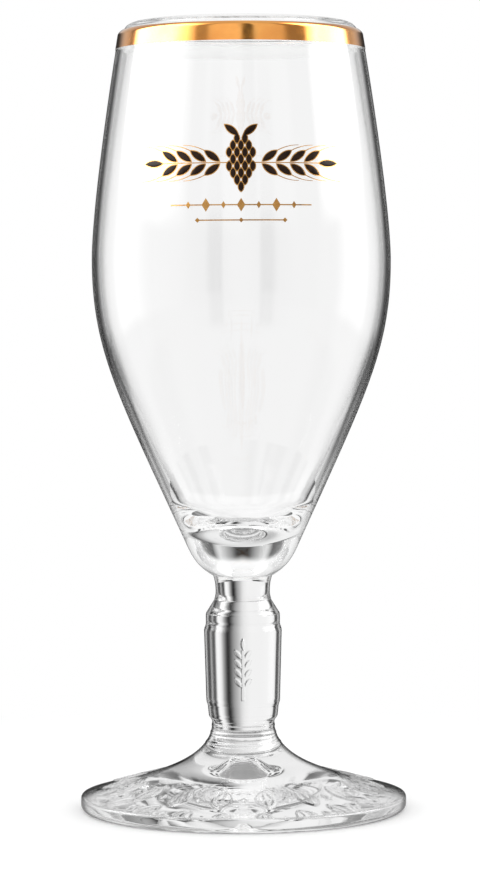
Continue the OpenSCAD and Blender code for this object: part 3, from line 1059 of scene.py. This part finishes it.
@dataclass
class Bowl(TurnedGlass):
    """The bowl: a thick base, a thinning side, a shoulder under the rim band and an in-turned lip.

    Each pair of shares says how far a curve keeps to its first and to its last direction.
    """

    name: str = "glass_bowl"
    segments: int = 320
    low: float = 57.5 * MM
    height: float = 134.9 * MM
    joint_diameter: float = 14.5 * MM
    base_diameter: float = 27.2 * MM
    base_height: float = 7.3 * MM
    base_side_angle: float = 24.4
    corner_angle: float = 30.0
    corner_shares: Point = (0.48, 0.42)
    low_side_shares: Point = (0.526, 0.315)
    high_side_shares: Point = (0.174, 0.403)
    belly_diameter: float = 73.1 * MM
    belly_height: float = 77.2 * MM
    band_diameter: float = 60.8 * MM
    band_side_angle: float = 9.3
    band_height: float = 3.4 * MM
    shoulder_angle: float = 35.0
    shoulder_shares: Point = (0.2, 0.24)
    shoulder_drop_share: float = 0.44
    wall: float = 1.7 * MM
    low_wall: float = 3.4 * MM
    floor: float = 9.5 * MM
    floor_share: float = 0.11
    floor_shares: Point = (0.42, 0.33)
    inside_share: float = 0.9
    crown_diameter: float = 51.4 * MM
    lip_turn_radius: float = 3.15 * MM
    lip_thickness: float = 1.6 * MM
    lip_angle: float = 30.0
    wave: float = 0.05 * MM
    wave_low_share: float = 0.25
    wave_length: float = 9 * MM
    least_wall: float = 0.8 * MM
    least_radius: float = 1 * MM

    @property
    def high(self) -> float:
        """Height of the lip's crown over the table."""
        return self.low + self.height

    @property
    def base(self) -> Vector:
        """Lower end of the side, on the outside of the base."""
        return Vector((self.base_diameter / 2, self.low + self.base_height))

    @property
    def belly(self) -> Vector:
        """Widest point of the side."""
        return Vector((self.belly_diameter / 2, self.low + self.belly_height))

    @property
    def band_lean(self) -> Vector:
        """Upward direction of the side under the shoulder, for a rise of one."""
        return Vector((-math.tan(math.radians(self.band_side_angle)), 1))

    @property
    def base_lean(self) -> Vector:
        """Upward direction of the side over the base, for a rise of one."""
        return Vector((math.tan(math.radians(self.base_side_angle)), 1))

    @property
    def crown(self) -> Vector:
        """Highest point of the lip."""
        return Vector((self.crown_diameter / 2, self.high))

    @property
    def turn_centre(self) -> Vector:
        """Middle of the arc by which the lip turns inwards."""
        return self.crown - Vector((0, self.lip_turn_radius))

    def joints(self) -> tuple[float, ...]:
        """Returns the height of the joint with the stem."""
        return (self.low,)

    def base_corner(self) -> Cubic:
        """Returns the rounding from the joint to the side over the base."""
        joint = Vector((self.joint_diameter / 2, self.low))
        away = Vector((1, math.tan(math.radians(self.corner_angle))))
        lead = joint + self.corner_shares[0] * self.base_height * away
        pull = self.base - self.corner_shares[1] * self.base_height * self.base_lean
        return Cubic(joint, lead, pull, self.base)

    def low_side(self) -> Cubic:
        """Returns the side from the base up to the belly."""
        rise = self.belly.y - self.base.y
        lead = self.base + self.low_side_shares[0] * rise * self.base_lean
        return Cubic(self.base, lead, self.belly - Vector((0, self.low_side_shares[1] * rise)), self.belly)

    def shoulder(self) -> Cubic:
        """Returns the rounding from the side to the lip, which the rim band covers."""
        turn = self.turn_centre + self.lip_turn_radius * unit(self.lip_angle)
        start_x = self.band_diameter / 2 + self.band_height * self.band_lean.x
        start = Vector((start_x, turn.y - self.shoulder_drop_share * self.band_height))
        lead = start + self.shoulder_shares[0] * self.band_height * self.band_lean
        pull = turn + self.shoulder_shares[1] * self.band_height * unit(-self.shoulder_angle)
        return Cubic(start, lead, pull, turn)

    def high_side(self) -> Cubic:
        """Returns the side from the belly up to the rim band."""
        band = self.shoulder().start - self.band_height * self.band_lean
        rise = band.y - self.belly.y
        lead = self.belly + Vector((0, self.high_side_shares[0] * rise))
        pull = band - self.high_side_shares[1] * rise * self.band_lean
        return Cubic(self.belly, lead, pull, band)

    def side_wall(self, share: float) -> float:
        """Returns the wall at a share of the low side."""
        return self.wall + (self.low_wall - self.wall) * (1 - share) ** 3

    def floor_curve(self) -> Cubic:
        """Returns the rounded floor inside, from the middle out to the side."""
        low_side = self.low_side()
        side = low_side.beside(self.floor_share, self.side_wall(self.floor_share))
        middle = Vector((0, self.low + self.floor))
        lead = middle + Vector((self.floor_shares[0] * side.x, 0))
        pull = side - self.floor_shares[1] * side.x * low_side.heading(self.floor_share)
        return Cubic(middle, lead, pull, side)

    def inside(self) -> list[Vector]:
        """Returns the inside's outline from the middle of the floor up to the lip."""
        low_side, high_side = self.low_side(), self.high_side()
        end = high_side.beside(1.0, self.wall)
        radius = self.lip_turn_radius - self.lip_thickness
        hollow = self.turn_centre + Vector((radius, 0))
        lip = Cubic(end, end + self.band_height / 2 * self.band_lean, hollow - Vector((0, radius)), hollow)
        shares = [self.floor_share + (1 - self.floor_share) * i / 60 for i in range(1, 61)]
        line = self.floor_curve().points(28)
        line += [low_side.beside(share, self.side_wall(share)) for share in shares]
        line += high_side.points(36, self.wall)[1:] + lip.points(10)[1:]
        return line + arc(self.turn_centre, radius, 0, 90, 8)[1:]

    def outline(self) -> list[Vector]:
        """Returns the whole outline, from the joint's middle round the lip to the floor's middle."""
        start = Vector((0, self.low))
        corner = self.base_corner().points(16)
        line = [start] + straight(start, corner[0], JOINT_RINGS) + corner
        for curve, count in ((self.low_side(), 70), (self.high_side(), 40), (self.shoulder(), 10)):
            line += curve.points(count)[1:]
        line += arc(self.turn_centre, self.lip_turn_radius, self.lip_angle, 90, 8)[1:]
        line += arc(self.crown - Vector((0, self.lip_thickness / 2)), self.lip_thickness / 2, 90, 270, 12)[1:]
        return line + list(reversed(self.inside()))[1:]

    def moulding(self, place: Vector) -> float:
        """Says how far the pressed inside waves, most over the base and none above the belly.

        Args:
            place: The place on the surface.

        Returns:
            The height of the wave there.
        """
        radius = place.xy.length
        if place.z > self.belly.y or radius < self.least_radius or place.z < self.low + self.floor:
            return 0.0
        side = self.low_side()
        if side.point(side.share_at(place.z)).x - radius < self.least_wall:
            return 0.0
        fade = 1 - smooth(place.z, self.low + self.wave_low_share * self.height, self.belly.y)
        return self.wave * fade * noise.noise(Vector((place.x, place.y, 0.5 * place.z)) / self.wave_length)

    def build(self, *finishes: Material) -> Object:
        """Makes the bowl.

        Args:
            *finishes: The finishes of its surface, of its joint face and of its inside.

        Returns:
            The finished piece.
        """
        piece = super().build(*finishes)
        inside_low = self.low + self.inside_share * self.floor
        for face in piece.data.polygons:
            if face.normal.xy.dot(face.center.xy) < 0 and face.center.z > inside_low:
                face.material_index = INSIDE_SLOT
        return piece


@dataclass
class RimBand:
    """The gilded band round the shoulder: a white ground coat on the glass and the gilding over it."""

    bowl: Bowl
    clearance: float = 0.004 * MM
    ground: float = 0.06 * MM
    gilt: float = 0.06 * MM
    shoulder_steps: int = 12
    segments: int = 320

    def path(self, gap: float) -> list[Vector]:
        """Returns the band's stretch of the bowl's outside.

        Args:
            gap: Distance from the glass.

        Returns:
            The stretch's points, from the lowest up.
        """
        shoulder = self.bowl.shoulder()
        out = gap * unit(self.bowl.band_side_angle)
        low = shoulder.start - self.bowl.band_height * self.bowl.band_lean + out
        side = [low] + straight(low, shoulder.start + out, 12)
        return side + shoulder.points(16, -gap)[: self.shoulder_steps]

    def coat(self, name: str, inner: float, outer: float, finish: Material) -> Object:
        """Makes one coat of the band.

        Args:
            name: The piece's name.
            inner: The coat's inner distance from the glass.
            outer: Its outer distance.
            finish: Its finish.

        Returns:
            The finished piece.
        """
        outline = self.path(outer) + list(reversed(self.path(inner)))
        piece = lathe(name, outline + [outline[0]], self.segments)
        dress(piece, finish)
        shade(piece)
        return piece

    def build(self, ground: Material, gilding: Material) -> list[Object]:
        """Makes both coats, the white ground first."""
        return [
            self.coat("rim_ground", self.clearance, self.ground, ground),
            self.coat("rim_gilding", self.ground, self.ground + self.gilt, gilding),
        ]


# Ornament


def moved(x: float, y: float = 0.0) -> Matrix:
    """Returns a move in the flat drawing."""
    return Matrix.Translation((x, y, 0))


def turned(angle: float) -> Matrix:
    """Returns a turn about Z by an angle in degrees."""
    return Matrix.Rotation(math.radians(angle), 4, "Z")


def coat_patch(columns: int, rows: int, shape: Callable[[float, float], Point], crown: float = 1.0) -> Object:
    """Makes a small closed patch of a coat, drawn flat, one unit thick.

    Args:
        columns: Number of cells along the patch.
        rows: Number of cells across it.
        shape: Gives the flat place of a point from its shares along and across, each from -1 to 1.
        crown: Thickness at the patch's edge as a share of that in its middle.

    Returns:
        The patch.
    """
    deselect()
    bpy.ops.mesh.primitive_grid_add(x_subdivisions=columns, y_subdivisions=rows, size=2)
    patch = bpy.context.object
    coat = patch.modifiers.new("coat", "SOLIDIFY")
    coat.thickness, coat.offset = 1.0, 1.0
    bpy.ops.object.modifier_apply(modifier=coat.name)

    def place(point: Vector) -> Vector:
        """Returns where a point of the square patch goes in the drawn shape."""
        thick = crown + (1 - crown) * math.sqrt(max(0.0, 1 - point.y**2))
        return Vector((*shape(point.x, point.y), point.z * thick))

    reshape(patch, place)
    close_up(weld=True)
    return patch


def leaf_patch(length: float, width: float, margin: float = 0.0, crown: float = 1.0) -> Object:
    """Makes a pointed leaf of two arcs along X.

    Args:
        length: The leaf's length.
        width: The leaf's width.
        margin: How far it is drawn out all round.
        crown: Thickness at its edge as a share of that in its middle.

    Returns:
        The patch.
    """
    radius = leaf_radius(length, width) + margin
    inset = leaf_radius(length, width) - width / 2
    reach = math.sqrt(radius**2 - inset**2)

    def shape(along: float, across: float) -> Point:
        """Returns a point of the leaf."""
        return reach * along, across * (math.sqrt(radius**2 - (reach * along) ** 2) - inset)

    return coat_patch(14, 6, shape, crown)


def line_patch(length: float, width: float, bow: float = 0.0, taper: float = 1.0) -> Object:
    """Makes a line from the origin along X.

    Args:
        length: The line's length.
        width: Its width at the origin.
        bow: How far its middle is bowed to the left.
        taper: Width at its end as a share of that at the origin.

    Returns:
        The patch.
    """

    def shape(along: float, across: float) -> Point:
        """Returns a point of the line."""
        share = (along + 1) / 2
        return length * share, 4 * bow * share * (1 - share) + across * width / 2 * (1 + (taper - 1) * share)

    return coat_patch(max(6, math.ceil(length / MM)), 1, shape)


def lozenge_patch(length: float, width: float) -> Object:
    """Makes a lozenge along X."""
    return coat_patch(8, 4, lambda along, across: (along * length / 2, across * (1 - abs(along)) * width / 2))


def stamped(patch: Object, places: Sequence[Matrix]) -> list[Object]:
    """Copies a patch to each place, each copy with its own mesh, and removes the patch.

    Args:
        patch: The patch.
        places: The places.

    Returns:
        The copies.
    """
    copies = []
    for place in places:
        copy = patch.copy()
        copy.data = patch.data.copy()
        copy.data.transform(place)
        bpy.context.scene.collection.objects.link(copy)
        copies.append(copy)
    bpy.data.objects.remove(patch)
    return copies


@dataclass
class Ornament:
    """A generic enamel ornament: two ears of barley beside a hop cone, over two rules with lozenges."""

    bowl: Bowl
    height: float = 22.3 * MM
    kernel_length: float = 4.2 * MM
    kernel_width: float = 1.5 * MM
    pair_count: int = 4
    scale_length: float = 2.3 * MM
    scale_width: float = 1.2 * MM
    edge: float = 0.2 * MM
    awn: float = 0.24 * MM
    rule_length: float = 33 * MM
    rule_height: float = 3.2 * MM
    enamel: float = 0.06 * MM
    scale_rows: tuple[int, ...] = (2, 3, 4, 3, 4, 3, 2, 1)
    scale_pitch_shares: Point = (1.54, 0.7)
    lean_angle: float = 36.0
    awn_angle: float = 15.0
    bract_angle: float = 38.0
    bract_share: float = 0.95
    lozenge_share: float = 0.62
    fine_rule_share: float = 0.62
    dark_crown: float = 0.3
    pitch_share: float = 0.79
    start_share: float = 1.2
    awn_length_share: float = 1.25
    awn_bow_share: float = 0.08
    awn_taper: float = 0.5
    rule_line_share: float = 0.09
    rule_place_shares: Point = (-2.35, -3.2)
    rule_parts: int = 8
    small_lozenge_share: float = 0.55
    fine_lozenge_share: float = 0.36

    @property
    def pitch(self) -> float:
        """Distance between the kernel pairs along an ear."""
        return self.pitch_share * self.kernel_length

    @property
    def start(self) -> float:
        """Distance of an ear's first kernels from the middle."""
        return self.start_share * self.kernel_length

    @property
    def stalk(self) -> float:
        """Length of an ear's stalk."""
        return self.start + self.pair_count * self.pitch

    def kernel_places(self) -> list[Matrix]:
        """Returns where the kernels of both ears go, as seen on the flat drawing."""
        half, root = moved(self.kernel_length / 2), self.kernel_width / 4
        places = [
            moved(self.start + i * self.pitch, side * root) @ turned(side * self.lean_angle) @ half
            for i in range(self.pair_count)
            for side in (-1, 1)
        ]
        places.append(moved(self.stalk) @ half)
        return places + [MIRROR @ place for place in places]

    def scale_places(self) -> list[Matrix]:
        """Returns where the scales of the hop cone go."""
        across = self.scale_pitch_shares[0] * self.scale_width
        down = self.scale_pitch_shares[1] * self.scale_length
        middle = (len(self.scale_rows) - 1) / 2
        return [
            moved((j - (count - 1) / 2) * across, (middle - i) * down) @ UPRIGHT
            for i, count in enumerate(self.scale_rows)
            for j in range(count)
        ]

    def bract_places(self) -> list[Matrix]:
        """Returns where the two leaves beside the top of the hop cone go."""
        top = len(self.scale_rows) * self.scale_pitch_shares[1] * self.scale_length / 2
        half = moved(self.bract_share * self.kernel_length / 2)
        place = moved(self.scale_width / 2, top) @ turned(self.bract_angle) @ half
        return [place, MIRROR @ place]

    def grown_shapes(self, margin: float, crown: float) -> list[Object]:
        """Makes the kernels, scales and leaves, drawn out by a margin.

        Args:
            margin: The margin all round each shape.
            crown: Thickness at a shape's edge as a share of that in its middle.

        Returns:
            The flat patches.
        """
        bract = self.bract_share * self.kernel_length, self.bract_share * self.kernel_width
        kinds = (
            (self.kernel_length, self.kernel_width, self.kernel_places()),
            (self.scale_length, self.scale_width, self.scale_places()),
            (*bract, self.bract_places()),
        )
        made = []
        for length, width, places in kinds:
            made += stamped(leaf_patch(length, width, margin, crown), places)
        return made

    def stalks_and_awns(self) -> list[Object]:
        """Makes the stalk of each ear and an awn on the tip of every leaning kernel."""
        made = stamped(line_patch(self.stalk, self.awn), [Matrix.Identity(4), MIRROR])
        tip = self.kernel_length * unit(self.lean_angle) + Vector((0, self.kernel_width / 4))
        length, bow = self.awn_length_share * self.kernel_length, self.awn_bow_share * self.kernel_length
        for side in (-1, 1):
            awn = line_patch(length, self.awn, side * bow, self.awn_taper)
            places = [
                moved(self.start + i * self.pitch + tip.x, side * tip.y) @ turned(side * self.awn_angle)
                for i in range(self.pair_count)
            ]
            made += stamped(awn, places + [MIRROR @ place for place in places])
        return made

    def rules(self) -> list[Object]:
        """Makes the rule with its lozenges and the fine rule under it."""
        line, half = self.rule_line_share * self.rule_height, self.rule_length / 2
        low, lowest = (share * self.kernel_length for share in self.rule_place_shares)
        pitch = self.rule_length / self.rule_parts
        made = stamped(line_patch(self.rule_length, line), [moved(-half, low)])
        for first, height in ((1, self.small_lozenge_share * self.rule_height), (2, self.rule_height)):
            places = [moved(i * pitch - half, low) @ UPRIGHT for i in range(first, self.rule_parts, 2)]
            made += stamped(lozenge_patch(height, self.lozenge_share * height), places)
        fine = self.fine_rule_share * self.rule_length
        made += stamped(line_patch(fine, line), [moved(-fine / 2, lowest)])
        small = self.fine_lozenge_share * self.rule_height
        places = [moved(share * fine / 2, lowest) for share in (-1, 0, 1)]
        return made + stamped(lozenge_patch(small, small), places)

    def laid(self, inner: float, outer: float) -> Callable[[Vector], Vector]:
        """Returns the move that lays a flat drawing on the front of the bowl.

        Args:
            inner: Distance of the coat's inner side from the glass.
            outer: Distance of its outer side.

        Returns:
            A function from a flat place to its place on the bowl.
        """
        side = self.bowl.high_side()
        middle = self.bowl.low + self.bowl.belly_height + self.height

        def move(flat: Vector) -> Vector:
            """Returns the place on the bowl of a flat place."""
            height = middle + flat.y
            share = side.share_at(height)
            radius, way = side.point(share).x, side.heading(share)
            around = Vector((flat.x, -math.sqrt(radius**2 - flat.x**2), 0)) / radius
            out = around * way.y + Vector((0, 0, -way.x))
            return radius * around + Vector((0, 0, height)) + (inner + (outer - inner) * flat.z) * out

        return move

    def coat(self, name: str, patches: Sequence[Object], level: int, finish: Material) -> Object:
        """Joins flat patches into one coat and lays it on the bowl.

        Args:
            name: The piece's name.
            patches: The flat patches.
            level: Number of coats under this one.
            finish: The coat's finish.

        Returns:
            The finished piece.
        """
        pick(patches[0])
        for patch in patches:
            patch.select_set(True)
        bpy.ops.object.join()
        piece = bpy.context.object
        piece.name = piece.data.name = name
        reshape(piece, self.laid(level * self.enamel, (level + 1) * self.enamel))
        close_up(weld=False)
        dress(piece, finish)
        shade(piece)
        return piece

    def build(self, dark: Material, gold: Material) -> list[Object]:
        """Makes the gold coat that lies on the glass and the dark coat over it.

        Args:
            dark: The finish of the dark coat.
            gold: The finish of the gold coat.

        Returns:
            The dark and the gold piece.
        """
        gold_patches = self.grown_shapes(self.edge, 1.0) + self.stalks_and_awns() + self.rules()
        gold_piece = self.coat("ornament_gold_coat", gold_patches, 0, gold)
        dark_piece = self.coat("ornament_dark_coat", self.grown_shapes(0.0, self.dark_crown), 1, dark)
        return [dark_piece, gold_piece]


# Studio


@dataclass(frozen=True)
class Panorama:
    """What stands round the glass, by bearing in degrees.

    Bearing 0 is behind the glass, 180 behind the camera, and right is positive. Four patterns for bent rays
    lie over each other from lowest to raised, and two for reflections. Each pair of elevations in degrees
    says where one pattern or level gives way to the next.
    """

    lowest: Levels = (
        (0, 1.0), (12, 0.95), (16, 0.5), (34, 0.5), (38, 0.85), (60, 1.0), (180, 1.0),
    )
    low: Levels = (
        (0, 1.0), (14, 1.0), (17, 0.75), (21, 0.35), (26, 0.18), (30, 0.06),
        (38, 0.08), (42, 0.5), (48, 0.9), (60, 1.0), (180, 1.0),
    )
    level: Levels = (
        (0, 0.92), (12, 0.92), (13.5, 0.8), (15.5, 0.07), (26, 0.1), (28, 0.28), (31, 0.42),
        (33, 0.52), (36, 0.64), (40, 0.76), (46, 0.9), (57, 1.0), (134, 1.0), (150, 0.8),
        (155, 0.1), (163, 0.1), (166, 0.9), (170, 1.0), (180, 1.0),
    )
    raised: Levels = (
        (0, 0.0), (5, 0.0), (9, 0.25), (14, 0.5), (20, 0.75), (23, 0.5), (27, 0.0),
        (38, 0.0), (44, 0.1), (55, 0.6), (95, 0.7), (110, 1.0), (180, 1.0),
    )
    gloss: Levels = (
        (-180, 0.09), (-152, 0.085), (-147, 0.04), (-138, 0.04), (-134, 0.12), (-120, 0.35), (-112, 0.6),
        (-70, 0.6), (-62, 0.05), (-57, 0.015), (-54, 0.045), (-14, 0.05), (14, 0.05), (23, 0.045),
        (60, 0.04), (68, 0.6), (104, 0.6), (112, 0.25), (117, 0.03), (134, 0.03), (139, 0.07),
        (166, 0.08), (169, 0.012), (177, 0.012), (180, 0.09),
    )
    low_gloss: Levels = (
        (-180, 0.012), (-139, 0.012), (-131, 0.04), (-112, 0.07), (-101, 0.1), (-93, 0.18), (-70, 0.18),
        (-63, 0.09), (-47, 0.075), (-40, 0.04), (-33, 0.01), (-25, 0.003), (25, 0.003), (33, 0.01),
        (40, 0.04), (47, 0.075), (63, 0.09), (70, 0.18), (93, 0.18), (102, 0.05), (116, 0.03),
        (122, 0.012), (180, 0.012),
    )
    to_low: Point = (-21.0, -18.0)
    to_level: Point = (-11.0, -8.0)
    to_raised: Point = (19.0, 25.0)
    to_top: Point = (27.0, 35.0)
    top_slope: float = -0.22
    to_floor: Point = (-29.0, -34.0)
    gloss_strength: float = 13.0
    to_gloss: Point = (8.0, 14.0)
    to_gloss_top: Point = (50.0, 72.0)
    gloss_top_level: float = 0.8
    to_gloss_floor: Point = (-11.0, -16.0)
    gloss_floor_share: float = 0.8
    gloss_floor_level: float = 0.4
    matt_strength: float = 1.06

    def over(self, recipe: Recipe, tilt: NodeSocket, limits: Point) -> NodeSocket:
        """Returns a share that eases from 0 to 1 between two elevations."""
        return recipe.rise(tilt, math.radians(limits[0]), math.radians(limits[1]))

    def background(self, recipe: Recipe, colour: object, strength: float) -> NodeSocket:
        """Returns a background of a colour at a strength."""
        return recipe.node("Background", {"Color": colour, "Strength": strength}).outputs["Background"]

    def clear(self, recipe: Recipe, bearing: NodeSocket, tilt: NodeSocket) -> NodeSocket:
        """Returns what bent rays see, which is the same on the left and the right.

        Args:
            recipe: The world's recipe.
            bearing: The ray's bearing.
            tilt: The ray's elevation.

        Returns:
            The colour seen.
        """
        apart = recipe.math("ABSOLUTE", bearing)
        seen = recipe.by_bearing(apart, self.lowest)
        layers = ((self.to_low, self.low), (self.to_level, self.level), (self.to_raised, self.raised))
        for limits, points in layers:
            seen = recipe.mix(self.over(recipe, tilt, limits), seen, recipe.by_bearing(apart, points))
        leaning = recipe.math("MULTIPLY_ADD", apart, self.top_slope, tilt)
        seen = recipe.mix(self.over(recipe, leaning, self.to_top), seen, WHITE)
        return recipe.mix(self.over(recipe, tilt, self.to_floor), seen, WHITE)

    def mirrored(self, recipe: Recipe, bearing: NodeSocket, tilt: NodeSocket) -> NodeSocket:
        """Returns what reflected rays see.

        Args:
            recipe: The world's recipe.
            bearing: The ray's bearing.
            tilt: The ray's elevation.

        Returns:
            The colour seen.
        """
        low, high = (recipe.by_bearing(bearing, points) for points in (self.low_gloss, self.gloss))
        seen = recipe.mix(self.over(recipe, tilt, self.to_gloss), low, high)
        levels = self.gloss_top_level, self.gloss_floor_level
        top, floor = (grey(level / self.gloss_strength) for level in levels)
        seen = recipe.mix(self.over(recipe, tilt, self.to_gloss_top), seen, top)
        share = recipe.math("MULTIPLY", self.over(recipe, tilt, self.to_gloss_floor), self.gloss_floor_share)
        return recipe.mix(share, seen, floor)

    def world(self) -> bpy.types.World:
        """Returns the panorama as a world: white for the camera, even for matt surfaces."""
        world = bpy.data.worlds.new("studio")
        world.use_nodes = True
        recipe = Recipe(world.node_tree)
        way = recipe.place("Generated").outputs
        bearing = recipe.bearing(way["X"], way["Y"])
        tilt = recipe.math("ARCSINE", way["Z"])
        mirrored = self.background(recipe, self.mirrored(recipe, bearing, tilt), self.gloss_strength)
        clear = self.background(recipe, self.clear(recipe, bearing, tilt), 1.0)
        path = recipe.node("LightPath").outputs
        seen = recipe.mix_shaders(path["Is Glossy Ray"], self.background(recipe, WHITE, 1.0), mirrored)
        seen = recipe.mix_shaders(path["Is Transmission Ray"], seen, clear)
        matt = recipe.math("MINIMUM", path["Diffuse Depth"], 1.0)
        seen = recipe.mix_shaders(matt, seen, self.background(recipe, WHITE, self.matt_strength))
        recipe.surface(seen, "OutputWorld")
        return world


@dataclass(frozen=True)
class Tabletop:
    """The plain white floor: matt round the foot, where the shadow falls, and plain white beyond.

    Bent rays see a painted shadow by the distance from the middle, dark under the push-up and at the foot's
    contact ring, and reflected rays a plain grey. Neither kind sees it far out.
    """

    size: float = 6.0
    facets: int = 96
    to_white: Point = (75 * MM, 190 * MM)
    to_gone: Point = (60 * MM, 100 * MM)
    white: float = 0.97
    mirrored: float = 0.4
    painted_shadow_reach: float = 60 * MM
    # under: painted shadow, levels by distance that are darker under the push-up and in a ring at the foot's
    # contact edge
    under: Levels = (
        (0.0, 0.3), (12 * MM, 0.35), (17 * MM, 0.9), (33 * MM, 0.85),
        (37 * MM, 0.4), (41 * MM, 0.2), (44 * MM, 0.8), (50 * MM, 1.0),
    )

    def build(self) -> Object:
        """Makes the floor."""
        deselect()
        bpy.ops.mesh.primitive_circle_add(vertices=self.facets, radius=self.size / 2, fill_type="NGON")
        floor = bpy.context.object
        floor.name = "floor"
        dress(floor, self.material())
        return floor

    def material(self) -> Material:
        """Returns the floor's finish."""
        material, recipe = new_material("white_table")
        middle = recipe.node("TexCoord").outputs["Object"]
        far = recipe.node("VectorMath", {0: middle}, operation="LENGTH").outputs["Value"]
        path = recipe.node("LightPath").outputs
        matt = recipe.node("BsdfDiffuse", {"Color": grey(self.white)}).outputs[0]
        direct = recipe.mix_shaders(recipe.rise(far, *self.to_white), matt, recipe.emission(WHITE))
        # painted shadow under the foot, which bent rays see in place of the floor's own shade
        under = recipe.emission(recipe.by_length(far, self.painted_shadow_reach, self.under))
        near = recipe.mix_shaders(path["Is Transmission Ray"], recipe.emission(grey(self.mirrored)), under)
        gone = recipe.node("BsdfTransparent").outputs[0]
        bent = recipe.mix_shaders(recipe.rise(far, *self.to_gone), near, gone)
        by_glass = recipe.math("MAXIMUM", path["Is Glossy Ray"], path["Is Transmission Ray"])
        recipe.surface(recipe.mix_shaders(by_glass, direct, bent))
        return material


@dataclass(frozen=True)
class Flags:
    """Black, grey and white cards in a dish close round the foot and stem, seen in the glass alone.

    The levels go by bearing as in Panorama. Those of cards run from left to right, and those of sides are
    the same on both sides and darken them.
    """

    foot_radius: float = 41.5 * MM
    radius: float = 42 * MM
    foot_height: float = 0.5 * MM
    height: float = 65.5 * MM
    facets: int = 180
    walls: float = 2.5
    cards: Levels = (
        (-180, 1.0), (-51, 0.9), (-48, 0.003), (-39, 0.003), (-36.5, 0.8), (-30, 0.93), (-14, 0.9), (-5, 0.9),
        (-0.7, 0.82), (1.4, 0.68), (3.5, 0.5), (6.3, 0.33), (8.9, 0.1), (10.5, 0.01), (12, 0.01),
        (14.5, 0.26), (16.1, 0.45), (17.6, 0.8), (21.7, 1.0), (24.1, 0.85), (26.6, 0.12), (29.2, 0.0),
        (32.6, 0.16), (35.2, 0.34), (37.9, 0.12), (40.5, 0.0), (47.1, 0.0), (51, 0.8), (56, 1.0),
        (180, 1.0),
    )
    sides: Levels = (
        (0, 1.0), (61, 1.0), (64, 0.06), (70, 0.06), (73, 1.0),
        (79, 1.0), (80, 0.5), (83, 0.5), (84, 1.0), (180, 1.0),
    )

    def build(self) -> Object:
        """Makes the dish of cards."""
        deselect()
        depth = self.height - self.foot_height
        bpy.ops.mesh.primitive_cone_add(
            vertices=self.facets,
            radius1=self.foot_radius,
            radius2=self.radius,
            depth=depth,
            end_fill_type="NOTHING",
        )
        ring = bpy.context.object
        ring.name = "flags"
        ring.data.transform(Matrix.Translation((0, 0, self.foot_height + depth / 2)))
        ring.visible_camera = ring.visible_diffuse = ring.visible_glossy = ring.visible_shadow = False
        dress(ring, self.material())
        return ring

    def material(self) -> Material:
        """Returns the cards' finish, which matt surfaces and the bowl's hollow part don't see."""
        material, recipe = new_material("cards")
        material.cycles.emission_sampling = "NONE"
        way = recipe.place().outputs
        bearing = recipe.bearing(way["X"], recipe.math("ABSOLUTE", way["Y"]))
        sides = recipe.by_bearing(recipe.math("ABSOLUTE", bearing), self.sides)
        cards = recipe.mix(1.0, recipe.by_bearing(bearing, self.cards), sides, "MULTIPLY")
        path = recipe.node("LightPath").outputs
        matt = recipe.math("MINIMUM", path["Diffuse Depth"], 1.0)
        far = recipe.math("GREATER_THAN", path["Transmission Depth"], self.walls)
        hidden = recipe.math("MAXIMUM", matt, far)
        gone = recipe.node("BsdfTransparent").outputs[0]
        recipe.surface(recipe.mix_shaders(hidden, recipe.emission(cards), gone))
        return material


@dataclass(frozen=True)
class Studio:
    """The camera at the photograph's angle, the floor, the panorama and a soft lamp overhead."""

    eye: tuple[float, float, float] = (-0.5 * MM, -780.2 * MM, 122.8 * MM)
    pitch: float = 2.274
    roll: float = -0.25
    lens: float = 131.64
    sensor: float = 36.0
    lamp_height: float = 0.9
    lamp_size: float = 0.9
    lamp_power: float = 1.2
    bounces: int = 96

    def camera(self) -> Object:
        """Makes the camera."""
        data = bpy.data.cameras.new("camera")
        data.lens, data.sensor_width, data.sensor_fit = self.lens, self.sensor, "AUTO"
        camera = bpy.data.objects.new("camera", data)
        tilt = Matrix.Rotation(math.radians(90 - self.pitch), 4, "X")
        camera.matrix_world = Matrix.Translation(self.eye) @ tilt @ turned(self.roll)
        bpy.context.scene.collection.objects.link(camera)
        bpy.context.scene.camera = camera
        return camera

    def lamp(self) -> Object:
        """Makes the soft lamp overhead."""
        data = bpy.data.lights.new("overhead", "AREA")
        data.shape, data.size, data.energy = "DISK", self.lamp_size, self.lamp_power
        lamp = bpy.data.objects.new("overhead", data)
        lamp.location = (0, 0, self.lamp_height)
        lamp.visible_camera = lamp.visible_glossy = lamp.visible_transmission = False
        bpy.context.scene.collection.objects.link(lamp)
        return lamp

    def build(self) -> None:
        """Makes the studio and sets how light is followed through the glass."""
        self.camera()
        self.lamp()
        Tabletop().build()
        Flags().build()
        scene = bpy.context.scene
        scene.world = Panorama().world()
        scene.view_settings.view_transform = "Standard"
        for limit in ("max_bounces", "transmission_bounces", "glossy_bounces", "transparent_max_bounces"):
            setattr(scene.cycles, limit, self.bounces)


def main() -> None:
    """Builds the glass piece by piece and sets up the studio."""
    logging.basicConfig(level=logging.INFO, format="%(message)s")
    joint = FusedJoint().material()
    settle(Foot().build(FOOT_GLASS.material(), joint), Slot.CLEAR_GLASS, Node.FOOT)
    settle(Stem().build(STEM_GLASS.material(), joint), Slot.CLEAR_GLASS, Node.STEM)
    bowl = Bowl()
    settle(bowl.build(BOWL_GLASS.material(), joint, BOWL_INSIDE.material()), Slot.CLEAR_GLASS, Node.BOWL)
    ground, gilding = RimBand(bowl).build(WHITE_GROUND.material(), Gilding().material())
    settle(ground, Slot.WHITE_ENAMEL, Node.RIM_GROUND)
    settle(gilding, Slot.BRIGHT_GOLD, Node.RIM_GILDING)
    dark, gold = Ornament(bowl).build(DARK_ENAMEL.material(), PRINTED_GOLD.material())
    settle(dark, Slot.DARK_ENAMEL, Node.ORNAMENT_DARK)
    settle(gold, Slot.PRINTED_GOLD, Node.ORNAMENT_GOLD)
    Studio().build()


if __name__ == "__main__":
    main()
